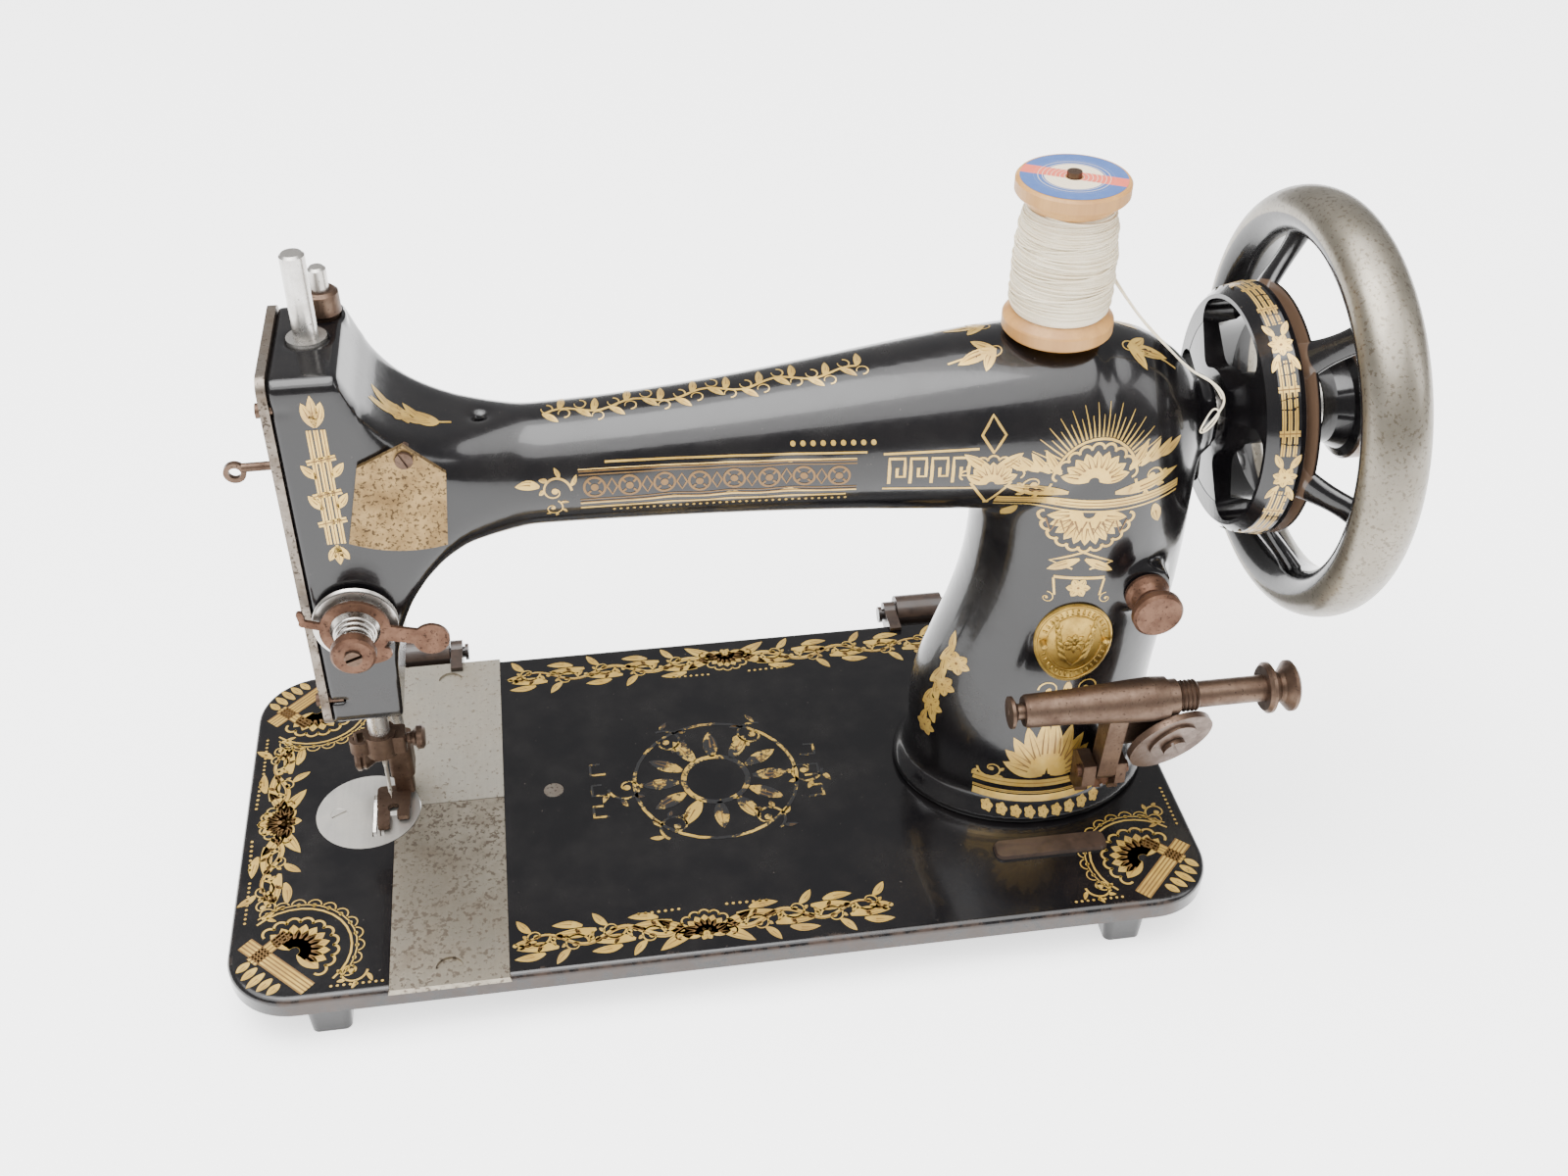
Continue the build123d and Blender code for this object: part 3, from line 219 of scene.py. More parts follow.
def bed_wear(s):
    """Brown chips along the bed's outline, most of them at the front, and the rubbed number pad."""
    x, y, z = s.split()
    past_x = s.calc("SUBTRACT", s.calc("ABSOLUTE", x), BED_HALF[0])
    past_y = s.calc("SUBTRACT", s.calc("ABSOLUTE", y), BED_HALF[1])
    edge = s.calc("MAXIMUM", past_x, past_y)
    ragged = s.calc("MULTIPLY", s.between(s.noise(9, 7, 0.75, seed=7.0), 0.35, 0.7), 6.0)
    rim = s.between(s.calc("ADD", edge, ragged), 1.0, 3.4)
    front = s.between(y, -60, -80, 0.35, 1.0)
    pad = s.between(z, 0.35, 0.7)
    pad = s.calc("MULTIPLY", pad, s.between(s.noise(6, 5, 0.7, seed=3.0), 0.3, 0.5, 0.35, 1.0))
    return s.calc("MAXIMUM", s.calc("MULTIPLY", rim, front), pad)


def arm_wear(s):
    """Small chips on the casting, thickest at the head's corners."""
    x, _, z = s.split()
    chips = s.between(s.noise(4.2, 6, 0.7, seed=9.0), 0.71, 0.735)
    head = s.between(x, -105, -136, 0.25, 1.0)
    foot = s.between(z, 6, 1, 0.0, 1.0)
    return s.calc("MULTIPLY", chips, s.calc("MAXIMUM", head, foot))


RIM_X = 219.9                            # middle of the hand wheel's rim
GROOVE_X, GROOVE_RADIUS = (199.6, 204.4), 44.0


def wheel_finish(s, colour, rough):
    """The outside of the rim is nickel with dense brown pits; its inside, spokes and pulley stay black."""
    x, y, z = s.split()
    up = s.calc("SUBTRACT", z, SHAFT_Z)
    reach = s.calc("SQRT", s.calc("ADD", s.calc("MULTIPLY", y, y), s.calc("MULTIPLY", up, up)))
    line = s.calc("ADD", reach, s.calc("MULTIPLY", s.calc("SUBTRACT", x, RIM_X), 0.55))
    plated = s.between(line, 62.2, 62.8)
    pits = s.between(s.noise(1.3, 3, 0.6, seed=5.0), 0.54, 0.62)
    grime = s.between(s.noise(22, 5, 0.6, seed=6.0), 0.3, 0.75)
    nickel = s.mix(grime, (0.26, 0.235, 0.19), (0.16, 0.14, 0.105))
    nickel = s.mix(s.calc("MULTIPLY", pits, 0.6), nickel, (0.08, 0.06, 0.04))
    start, stop = GROOVE_X
    groove = s.calc("MULTIPLY", s.between(x, start, start + 0.6), s.between(x, stop, stop - 0.6))
    off_groove = s.calc("ABSOLUTE", s.calc("SUBTRACT", reach, GROOVE_RADIUS))
    groove = s.calc("MULTIPLY", groove, s.between(off_groove, 2.4, 2.0))
    colour = s.mix(s.calc("MULTIPLY", groove, 0.8), colour, (0.09, 0.055, 0.035))
    return (s.mix(plated, colour, nickel), s.calc("ADD", rough, s.calc("MULTIPLY", plated, 0.16)),
            s.calc("MULTIPLY", plated, 0.85))


def knob_finish(s, colour, rough):
    """Enamel rubbed to brown iron round the clutch knob's flange."""
    x, _, _ = s.split()
    patches = s.between(s.noise(6, 5, 0.7), 0.3, 0.55, 0.55, 1.0)
    rim = s.calc("MULTIPLY", s.between(x, 232.4, 234.5), patches)
    return s.mix(rim, colour, (0.15, 0.095, 0.06)), s.calc("ADD", rough, s.calc("MULTIPLY", rim, 0.25)), rim


def metal(name, clean, stain, spots, rough, grain=(1, 1, 1), stain_size=14.0, spot_size=1.6, spot_level=0.64):
    """Worn bare metal: soft stains, small dark spots and fine scratches along one direction."""
    s = Shade(name, Metallic=0.9)
    stained = s.between(s.noise(stain_size, 6, 0.65), 0.4, 0.7)
    spotted = s.between(s.noise(spot_size, 4, 0.65, seed=3.0), spot_level, spot_level + 0.05)
    lines = s.noise(1.2, 3, 0.6, where=s.stretched(grain), seed=1.0)
    colour = s.mix(stained, clean, stain)
    colour = s.mix(s.calc("MULTIPLY", spotted, 0.85), colour, spots)
    colour = s.mix(s.between(lines, 0.3, 0.75, 0.0, 0.25), colour, tuple(0.5 * c for c in clean))
    s.set("Base Color", colour)
    s.set("Roughness", s.between(s.calc("ADD", stained, spotted), 0.0, 1.6, rough, rough + 0.28))
    s.bump(s.calc("ADD", lines, s.calc("MULTIPLY", spotted, -0.8)), 0.25, 0.1)
    return s.material


def gilt(name, worn_level, patch=3.2):
    """Gold transfer ornament over the enamel, rubbed through to black in places."""
    s = Shade(name, Coat_Weight=0.4, Coat_Roughness=0.12)
    tone = s.between(s.noise(7, 5, 0.65), 0.3, 0.7)
    colour = s.mix(tone, GILT, (0.66, 0.45, 0.12))
    colour = s.mix(s.between(s.noise(16, 4, 0.6, seed=8.0), 0.5, 0.75), colour, (0.36, 0.22, 0.07))
    rubbed = s.between(s.noise(patch, 7, 0.75, seed=5.0), worn_level, worn_level + 0.03)
    s.set("Base Color", s.mix(rubbed, colour, ENAMEL))
    s.set("Metallic", s.between(rubbed, 0, 1, 0.55, 0.0))
    s.set("Roughness", 0.36)
    s.bump(s.noise(2.4, 2, 0.5), 0.25, 0.1)
    return s.material


def gilt_line(name):
    """Brown shading lines drawn over the gold."""
    s = Shade(name, Roughness=0.4, Metallic=0.3)
    s.set("Base Color", s.mix(s.noise(5, 4), GILT_DARK, (0.11, 0.055, 0.018)))
    return s.material


def wood(name):
    """Turned light hardwood: rings round the spool and fine pores."""
    s = Shade(name, Coat_Weight=0.15, Coat_Roughness=0.35)
    pores = s.noise(0.8, 4, 0.6, where=s.stretched((1, 1, 0.07)))
    rings = s.noise(7, 3, 0.5, where=s.stretched((1, 1, 0.12)), seed=2.0)
    colour = s.mix(s.between(rings, 0.35, 0.65), (0.52, 0.27, 0.075), (0.38, 0.18, 0.045))
    colour = s.mix(s.between(pores, 0.5, 0.75, 0.0, 0.5), colour, (0.34, 0.17, 0.06))
    s.set("Base Color", colour)
    s.set("Roughness", s.between(pores, 0.3, 0.7, 0.42, 0.6))
    s.bump(pores, 0.25, 0.08)
    return s.material


def cotton(name):
    """Cream spun thread: twist along the strand and a little soil."""
    s = Shade(name, Roughness=0.75, Sheen_Weight=0.35, Sheen_Roughness=0.4)
    twist = s.noise(0.35, 3, 0.6)
    soil = s.between(s.noise(11, 5, 0.6, seed=3.0), 0.35, 0.75)
    colour = s.mix(soil, (0.88, 0.80, 0.62), (0.74, 0.62, 0.42))
    s.set("Base Color", s.mix(s.between(twist, 0.3, 0.7, 0.0, 0.35), colour, (0.52, 0.42, 0.27)))
    s.bump(twist, 0.5, 0.1)
    return s.material


def label_paper(name):
    """Spool label: blue ring, red slanting band, cream middle; no lettering."""
    s = Shade(name, Roughness=0.55)
    x, y, _ = s.split()
    off_x = s.calc("SUBTRACT", x, SPOOL[0])
    reach = s.calc("SQRT", s.calc("ADD", s.calc("MULTIPLY", off_x, off_x), s.calc("MULTIPLY", y, y)))
    across = s.calc("ADD", s.calc("MULTIPLY", off_x, 0.47), s.calc("MULTIPLY", y, 0.88))
    worn = s.noise(2.4, 5, 0.7, seed=2.0)
    blue = s.mix(worn, (0.03, 0.075, 0.24), (0.075, 0.14, 0.34))
    cream = s.mix(worn, (0.80, 0.70, 0.52), (0.66, 0.55, 0.38))
    red = s.mix(worn, (0.56, 0.07, 0.045), (0.66, 0.16, 0.10))
    colour = s.mix(s.between(reach, 9.6, 9.9), cream, blue)
    band = s.between(s.calc("ABSOLUTE", s.calc("SUBTRACT", across, 1.0)), 3.2, 3.0)
    colour = s.mix(band, colour, red)
    rings = s.calc("SINE", s.calc("MULTIPLY", reach, 4.4))
    printed = s.calc("MULTIPLY", s.between(rings, 0.86, 0.96), s.between(reach, 13.2, 13.0))
    colour = s.mix(printed, colour, (0.62, 0.52, 0.40))
    chips = s.between(s.noise(1.7, 5, 0.7, seed=6.0), 0.66, 0.7)
    s.set("Base Color", s.mix(chips, colour, (0.62, 0.45, 0.25)))
    s.bump(worn, 0.15, 0.05)
    return s.material


M = {
    "bed": enamel("japan_bed", bed_wear),
    "arm": enamel("japan_arm", arm_wear),
    "wheel": enamel("japan_wheel", None, wheel_finish),
    "knob": enamel("japan_knob", None, knob_finish),
    "gilt": gilt("gilt", 0.66),
    "gilt_rubbed": gilt("gilt_rubbed", 0.47, 8.5),
    "gilt_line": gilt_line("gilt_line"),
    "bright": metal("steel_bright", (0.62, 0.60, 0.57), (0.36, 0.33, 0.29), (0.12, 0.09, 0.07), 0.22,
                    grain=(1, 1, 0.03)),
    "plate": metal("steel_plate", (0.66, 0.64, 0.60), (0.50, 0.47, 0.42), (0.20, 0.15, 0.11), 0.30,
                   grain=(1, 0.06, 1), spot_level=0.68),
    "slide_back": metal("steel_slide_back", (0.45, 0.42, 0.355), (0.27, 0.235, 0.185), (0.12, 0.085, 0.06),
                        0.36, grain=(1, 0.05, 1), stain_size=16, spot_size=1.7, spot_level=0.58),
    "slide_front": metal("steel_slide_front", (0.33, 0.295, 0.235), (0.165, 0.135, 0.10), (0.075, 0.055, 0.04),
                         0.38, grain=(1, 0.05, 1), spot_size=1.8, spot_level=0.53),
    "rusty": metal("steel_rusty", (0.125, 0.082, 0.058), (0.062, 0.036, 0.025), (0.025, 0.016, 0.012), 0.40,
                   stain_size=9, spot_size=1.2, spot_level=0.60),
    "rusty_red": metal("steel_rusty_red", (0.13, 0.070, 0.045), (0.070, 0.034, 0.022), (0.028, 0.016, 0.011),
                       0.44, stain_size=6, spot_size=1.1, spot_level=0.58),
    "cover": metal("nickel_pitted", (0.27, 0.18, 0.08), (0.15, 0.092, 0.04), (0.05, 0.033, 0.02), 0.42,
                   stain_size=10, spot_size=1.4, spot_level=0.535),
    "nickel": metal("nickel_dull", (0.22, 0.19, 0.16), (0.095, 0.07, 0.05), (0.035, 0.025, 0.018), 0.36,
                    stain_size=9, spot_size=1.4, spot_level=0.56),
    "brass": metal("brass_aged", (0.52, 0.34, 0.08), (0.27, 0.16, 0.035), (0.06, 0.035, 0.012), 0.36,
                   stain_size=7, spot_size=1.4, spot_level=0.62),
    "wood": wood("spool_wood"),
    "cotton": cotton("cotton_thread"),
    "label": label_paper("spool_label"),
}

FINISH = {
    "bed": ["bed", "rear_cover", "hinge_left", "hinge_right", "hinge_pins"],
    "arm": ["arm"],
    "wheel": ["hand_wheel"],
    "knob": ["stop_motion_knob"],
    "bright": ["needle_bar", "needle", "presser_bar", "arm_shaft", "needle_crank", "needle_bar_yoke",
               "presser_bar_guide", "presser_spring", "shuttle_cam", "rocking_lever", "lever_pins",
               "shuttle_lever", "shuttle", "shuttle_bobbin", "feed_bar", "feed_dog", "clutch_washer",
               "tension_discs", "tension_spring", "bushings"],
    "plate": ["needle_plate", "needle_plate_screw"],
    "slide_back": ["slide_back"],
    "slide_front": ["slide_front"],
    "rusty": ["needle_clamp", "needle_clamp_screw", "presser_foot", "presser_foot_screw", "presser_lifter",
              "tension_stud", "winder_bracket", "winder_frame", "winder_spindle", "winder_gear",
              "winder_gear_screw", "spool_pin", "presser_regulating_screw", "take_up_lever", "arm_bolts",
              "cover_screws"],
    "rusty_red": ["tension_lever", "tension_nut", "stitch_regulator", "winder_screws"],
    "cover": ["inspection_cover"],
    "nickel": ["face_plate", "bed_plug"],
    "brass": ["badge", "badge_rivets"],
    "wood": ["spool"],
    "cotton": ["spool_thread", "thread_tail"],
}


def dress(obj, *materials):
    obj.data.materials.clear()
    for material in materials:
        obj.data.materials.append(material)


for key, names in FINISH.items():
    for name in names:
        dress(nodes[name], M[key])


# ---- making pieces ------------------------------------------------------------------------
def mesh_piece(name, verts, faces, body, *materials):
    mesh = bpy.data.meshes.new(name)
    mesh.from_pydata([tuple(v) for v in verts], [], faces)
    mesh.update()
    obj = new_object(name, mesh)
    dress(obj, *materials)
    smooth(mesh)
    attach(obj, body)
    return obj


def strand(name, points, diameter, body, material, closed=False, sides=3, cuts=12):
    """A thin round cord along a NURBS line through the control points, in mm from the bed."""
    curve = bpy.data.curves.new(name, "CURVE")
    curve.dimensions = "3D"
    spline = curve.splines.new("NURBS")
    spline.points.add(len(points) - 1)
    for point, place in zip(spline.points, points):
        point.co = (*at(*place), 1.0)
    spline.order_u = 3
    spline.use_endpoint_u = not closed
    spline.use_cyclic_u = closed
    spline.resolution_u = cuts
    curve.bevel_depth = diameter / 2 * MM
    curve.bevel_resolution = sides
    curve.use_fill_caps = True
    obj = new_object(name, curve)
    curve.materials.append(material)
    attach(obj, body)
    return obj


def solid_strand(name, *values, **settings):
    """The same as strand, as a mesh."""
    line = strand(name + "_line", *values, **settings)
    mesh = bpy.data.meshes.new_from_object(line.evaluated_get(bpy.context.evaluated_depsgraph_get()))
    bpy.data.objects.remove(line)
    obj = new_object(name, mesh)
    smooth(mesh)
    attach(obj, values[2])
    return obj


# ---- loose thread -------------------------------------------------------------------------
TAIL = [(140.1, -1, 217), (144.6, -10, 209.5), (155.6, -14, 198), (165.9, -17, 187.5), (171.3, -22, 186.6),
        (177.0, -24, 181.5), (176.8, -25, 175.5), (170.5, -26, 168.5)]
SECOND = [(139.9, -3, 216), (146.6, -11.5, 206.6), (157.6, -15, 195.6), (168.2, -18.2, 186.4),
          (173.5, -22.5, 185.0), (176.0, -24.4, 180)]
LOOP = [(172.2, -26, 176.5), (170.0, -26.6, 172), (168.9, -26.6, 168.2), (171.4, -26.2, 168.0),
        (174.6, -25.8, 171.5), (175.6, -25.6, 175.4), (173.8, -25.8, 177.2)]
PLY = 0.6                                # diameter of the second strand and the loop
tail = strand("thread_tail_strand", TAIL, 0.8, "frame", M["cotton"])
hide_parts("thread_tail")
second = solid_strand("thread_tail_second", SECOND, PLY, "frame", M["cotton"])
loop = solid_strand("thread_tail_loop", LOOP, PLY, "frame", M["cotton"], closed=True)

# ---- arm casting, blended ------------------------------------------------------------------
# The CAD casting with its joins between head, arm and pillar run into each other, as in a sand casting.
arm_skin = new_object("arm_casting", nodes["arm"].data.copy())
remesh = arm_skin.modifiers.new("remesh", "REMESH")
remesh.mode = "VOXEL"
remesh.voxel_size = 1.1 * MM
depsgraph = bpy.context.evaluated_depsgraph_get()
arm_skin.data = bpy.data.meshes.new_from_object(arm_skin.evaluated_get(depsgraph))
arm_skin.modifiers.clear()


def melt(obj, amount, steps):
    """Move each vertex towards the middle of its neighbours, by amount(place from the bed in mm)."""
    shape = bmesh.new()
    shape.from_mesh(obj.data)
    weights = [amount(v.co / MM - BED) for v in shape.verts]
    for _ in range(steps):
        moved = []
        for v, weight in zip(shape.verts, weights):
            if weight > 0:
                middle = sum((e.other_vert(v).co for e in v.link_edges), Vector()) / len(v.link_edges)
                moved.append(v.co.lerp(middle, weight))
            else:
                moved.append(None)
        for v, place in zip(shape.verts, moved):
            if place is not None:
                v.co = place
    shape.to_mesh(obj.data)
    shape.free()


HEAD_EDGE, FOOT, FLARE, SHAFT_BOSS = -111, 3, 8, 13


def blend_zone(place):
    """How strongly each part of the casting is blended: not at the head, the foot's edge or the shaft."""
    x, y, z = place
    if x < HEAD_EDGE or z < FOOT or hypot(y, z - SHAFT_Z) < SHAFT_BOSS:
        return 0.0
    return 0.5 if z < FLARE else 0.9


melt(arm_skin, lambda place: 0.5, 2)
melt(arm_skin, blend_zone, 14)
smooth(arm_skin.data)
dress(arm_skin, M["arm"])
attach(arm_skin, "frame")
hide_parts("arm")


# ---- gilt ornament -------------------------------------------------------------------------
def surface_of(*objects):
    """A ray-cast tree over the shown surface of some objects."""
    verts, faces = [], []
    for obj in objects:
        start = len(verts)
        verts += [v.co.copy() for v in obj.data.vertices]
        faces += [[start + k for k in p.vertices] for p in obj.data.polygons]
    return BVHTree.FromPolygons(verts, faces)


class Ornament:
    """Flat drawing in mm, laid on a surface.

    With a tree, place(u, v) gives a point and a direction to cast in. Without one, place(u, v, lift) gives
    the point on the surface.
    """

    def __init__(self, name, place, tree=None, lift=0.10):
        self.name, self.place, self.tree, self.lift = name, place, tree, lift
        self.verts, self.faces, self.tones = [], [], []

    def lay(self, u, v, tone):
        if self.tree is None:
            return self.place(u, v, self.lift + 0.05 * tone)
        start, way = self.place(u, v)
        hit, normal, _, _ = self.tree.ray_cast(start, way)
        if hit is None:
            return None
        if normal.dot(way) > 0:
            normal = -normal
        return hit + normal * (self.lift + 0.05 * tone) * MM

    def strip(self, left, right, tone=0):
        """A band between two rows of points."""
        rows = [(self.lay(*a, tone), self.lay(*b, tone)) for a, b in zip(left, right)]
        for (a, b), (d, c) in zip(rows, rows[1:]):
            if None in (a, b, c, d) or (a - d).length > 12 * MM or (a - b).length > 16 * MM:
                continue
            start = len(self.verts)
            self.verts += [a, b, c, d]
            self.faces.append((start, start + 1, start + 2, start + 3))
            self.tones.append(tone)

    def line(self, points, width, end_width=None, tone=0, closed=False):
        """A line through the points whose width may taper."""
        end_width = width if end_width is None else end_width
        if closed:
            points = list(points) + [points[0], points[1]]
        fine = [points[0]]
        for a, b in zip(points, points[1:]):
            cuts = max(1, int(hypot(b[0] - a[0], b[1] - a[1]) / 3.0))
            fine += [(a[0] + (b[0] - a[0]) * k / cuts, a[1] + (b[1] - a[1]) * k / cuts)
                     for k in range(1, cuts + 1)]
        left, right = [], []
        for k, (u, v) in enumerate(fine):
            before, after = fine[max(k - 1, 0)], fine[min(k + 1, len(fine) - 1)]
            du, dv = after[0] - before[0], after[1] - before[1]
            size = hypot(du, dv) or 1.0
            half = (width + (end_width - width) * k / (len(fine) - 1)) / 2
            left.append((u - dv / size * half, v + du / size * half))
            right.append((u + dv / size * half, v - du / size * half))
        self.strip(left, right, tone)

    def ribbed(self, points, width, rib):
        """A line with a thin brown line along its middle."""
        self.line(points, width)
        self.line(points, rib, tone=1)

    def arc(self, u, v, radius, start, stop, width, end_width=None, tone=0, end_radius=None):
        """Part of a circle or, with an end radius, of a spiral; angles in degrees."""
        end_radius = radius if end_radius is None else end_radius
        steps = max(6, int(abs(stop - start) / 12))
        points = []
        for k in range(steps + 1):
            reach = radius + (end_radius - radius) * k / steps
            points.append(around(u, v, reach, start + (stop - start) * k / steps))
        self.line(points, width, end_width, tone)

    def leaf(self, u, v, angle, length, width, curl=0.0, vein=True):
        """A pointed leaf with a brown vein and edge shading; curl bends it sideways."""
        way, steps = radians(angle), 8
        spine, left, right = [], [], []
        for k in range(steps + 1):
            part = k / steps
            along, aside = part * length, curl * length * part * part
            half = width / 2 * sin(pi * min(0.06 + 0.94 * part, 1.0)) ** 0.8
            spine.append((along, aside))
            left.append((along, aside + half))
            right.append((along, aside - half))

        def turned(row):
            return [(u + a * cos(way) - b * sin(way), v + a * sin(way) + b * cos(way)) for a, b in row]

        self.strip(turned(left), turned(right))
        if vein:
            self.line(turned(spine[3:-1]), 0.12 * width, 0.03, 1)
            shade = [(a, b - width * 0.33 * sin(pi * k / steps)) for k, (a, b) in enumerate(spine)]
            self.line(turned(shade[3:-1]), 0.08 * width, 0.03, 1)

    def disc(self, u, v, radius, tone=0):
        ring = [around(u, v, radius, degrees) for degrees in range(0, 181, 30)]
        back = [around(u, v, radius, -degrees) for degrees in range(0, 181, 30)]
        self.strip(ring, back, tone)

    def beads(self, start, stop, radius, gap):
        count = max(2, int(hypot(stop[0] - start[0], stop[1] - start[1]) / gap))
        for k in range(count + 1):
            part = k / count
            self.disc(start[0] + (stop[0] - start[0]) * part, start[1] + (stop[1] - start[1]) * part, radius)

    def scroll(self, u, v, size, angle, hand=1, leaves=True):
        """An S of acanthus: a spiral with leaves thrown off its outer side."""
        turn_to = angle + hand * 400
        self.arc(u, v, size, angle, turn_to, 0.16 * size, 0.07 * size, 0, 0.16 * size)
        self.disc(u, v, 0.2 * size)
        if leaves:
            for k in range(4):
                at_angle = angle + hand * (18 + 52 * k)
                foot = around(u, v, size * (1 - 0.13 * k), at_angle)
                self.leaf(*foot, at_angle + hand * 28, size * (0.75 - 0.11 * k), size * 0.3, hand * 0.25)

    def fan(self, u, v, angle, radius, spread=180, petals=9):
        """A shell of petals with a scalloped double edge."""
        ways = [angle - spread / 2 + spread * (k + 0.5) / petals for k in range(petals)]
        half_petal = sin(radians(spread / petals / 2))
        for way in ways:
            self.leaf(*around(u, v, 0.14 * radius, way), way, radius * 0.82, radius * 2.3 * half_petal)
        for way in ways:
            self.arc(*around(u, v, radius, way), radius * half_petal * 1.05, way - 90, way + 90, 0.07 * radius)
        self.arc(u, v, 0.2 * radius, angle - spread / 2, angle + spread / 2, 0.1 * radius)

    def rosette(self, u, v, radius, petals=8, turned=0):
        for k in range(petals):
            way = turned + 360 * k / petals
            self.leaf(*around(u, v, 0.22 * radius, way), way, radius * 0.8, radius * 4.2 / petals)
        self.disc(u, v, 0.26 * radius)
        self.disc(u, v, 0.12 * radius, 1)

    def bars(self, u, v, angle, length, width, count=3):
        """A ribbon: bars side by side with brown lines between."""
        way = radians(angle)
        du, dv = cos(way) * length / 2, sin(way) * length / 2
        self.line([(u - du, v - dv), (u + du, v + dv)], width)
        for k in range(count + 1):
            off = width * (k / count - 0.5) * 0.9
            a = (u - du - off * sin(way), v - dv + off * cos(way))
            b = (u + du - off * sin(way), v + dv + off * cos(way))
            self.line([a, b], 0.09 * width, tone=1)

    def finish(self, body, gold, dark=None):
        obj = mesh_piece(self.name, self.verts, self.faces, body, gold, dark or M["gilt_line"])
        for polygon, tone in zip(obj.data.polygons, self.tones):
            polygon.material_index = tone
        shape = bmesh.new()
        shape.from_mesh(obj.data)
        bmesh.ops.remove_doubles(shape, verts=shape.verts, dist=0.004 * MM)
        shape.to_mesh(obj.data)
        shape.free()
        return obj


def on_bed(u, v, lift):
    return at(u, v, lift)


def mirrored(draw, sign_u, sign_v):
    """Turn the drawing's directions over from here on, and return the place function that it had."""
    old = draw.place
    draw.place = (lambda u, v, lift: old(sign_u * u, sign_v * v, lift))
    return old


def corner_piece(draw):
    """Corner ornament for the corner at high u, low v: shell, crossed ribbons and pointed leaves."""
    shell, edge_radius = (160, -66), 22.4
    draw.fan(*shell, 135, 13.5, 200, 10)
    draw.bars(166, -72, 45, 34, 6.5, 4)
    draw.bars(169, -63, 135, 17, 5, 3)
    for k in range(5):
        draw.leaf(164 + 2.9 * k, -80.5 + 2.9 * k, -45, 8.5 - abs(k - 2) * 1.2, 3.2)
    draw.arc(*shell, 20.5, 45, 225, 0.8)
    draw.arc(*shell, edge_radius, 50, 220, 0.5)
    for way in range(60, 211, 15):
        scallop = around(*shell, edge_radius, way)
        draw.arc(*scallop, 2.6, way - 80, way + 80, 0.5)
        draw.disc(*scallop, 0.8)
    draw.scroll(139, -78, 5.6, 180, 1)
    draw.scroll(173, -43, 5.6, -90, -1)
    draw.beads((146, -84), (128, -84), 0.55, 2.2)
    draw.beads((179, -50), (179, -30), 0.55, 2.2)


bed_gold = Ornament("bed_ornament", on_bed, None, 0.08)
for sign_u, sign_v in ((1, 1), (-1, 1), (-1, -1)):
    plain = mirrored(bed_gold, sign_u, sign_v)
    corner_piece(bed_gold)
    bed_gold.place = plain


def running_scroll(draw, start, stop, middle, hand=1):
    """A border of acanthus along u between two ends, thrown out both ways from a flower in the middle."""
    centre = (start + stop) / 2
    half = (stop - start) / 2
    draw.fan(centre, middle - 4.5 * hand, 90 * hand, 9.5, 200, 9)
    draw.rosette(centre, middle - 4.5 * hand, 3.2, 6)
    for side in (-1, 1):
        for flip in (-1, 1):
            bend = 0.22 * flip * side
            draw.leaf(centre + side * 4, middle - 3 * hand, 90 - side * (90 - 16 * flip), 15, 5.0, bend)
        count = max(2, round(half / 19))
        step = (half - 11) / count
        for k in range(count):
            u = centre + side * (13 + step * (k + 0.5))
            up = (1 if k % 2 else -1) * hand
            draw.scroll(u, middle + 2.6 * up, 5.2, 90 - side * 90 + 180, side * up)
            draw.leaf(u - side * 8, middle - 3.4 * up, 90 - side * (90 - 14 * up), 15, 4.6, -0.2 * side * up)
            draw.leaf(u - side * 3, middle - 5.6 * up, 90 - side * (90 + 20 * up), 11, 3.6, 0.22 * side * up)
            draw.leaf(u + side * 2, middle + 4.8 * up, 90 - side * (90 - 40 * up), 8, 3.2, 0.2 * side * up)
            draw.disc(u + side * 5.5, middle - 1.6 * up, 1.3)
            draw.disc(u + side * 7.8, middle - 0.6 * up, 0.9)
        wave = [(centre + side * (8 + (half - 9) * j / 40),
                 middle - hand * 3.1 * sin(pi * j / 40 * count)) for j in range(41)]
        draw.line(wave, 2.6, 0.9)
        draw.line([(u, v - 0.4) for u, v in wave], 0.35, tone=1)
        draw.leaf(centre + side * (half - 5), middle, 90 - side * 90, 8, 3.6)
        inner, outer = (centre + side * 9, middle + hand * 8.6), (centre + side * 24, middle + hand * 8.2)
        draw.beads(inner, outer, 0.6, 2.2)


running_scroll(bed_gold, -78, 56, -74.5, 1)
running_scroll(bed_gold, -77, 108, 74.5, -1)
turned_place = bed_gold.place
bed_gold.place = (lambda u, v, lift: turned_place(v, u, lift))
running_scroll(bed_gold, -40, 42, -171.5, -1)
bed_gold.rosette(1, -170.5, 8.5, 8)
bed_gold.place = turned_place
bed_gold.finish("frame", M["gilt"])

worn_gold = Ornament("bed_middle_ornament", on_bed, None, 0.08)
for k in range(12):
    way = radians(30 * k)
    worn_gold.leaf(2 + 15 * cos(way), 1 + 13 * sin(way), 30 * k, 15, 6)
worn_gold.arc(2, 1, 13, 0, 360, 2.2)
worn_gold.arc(2, 1, 33, 0, 360, 1.4)
for k in range(6):
    way = radians(60 * k)
    worn_gold.scroll(2 + 36 * cos(way), 1 + 28 * sin(way), 7.5, 60 * k, 1 if k % 2 else -1)
for side in (-1, 1):
    near, far, tip = side * 40 - 2, side * 46 - 2, side * 42 - 2
    for k in range(3):
        low, high = -14 + 12 * k, -8 + 12 * k
        worn_gold.line([(near, low), (far, low), (far, high), (tip, high)], 1.1)
worn_gold.finish("frame", M["gilt_rubbed"])

# Ornament cast on to the arm from the front, or from above for the sprigs.
casting = surface_of(arm_skin)


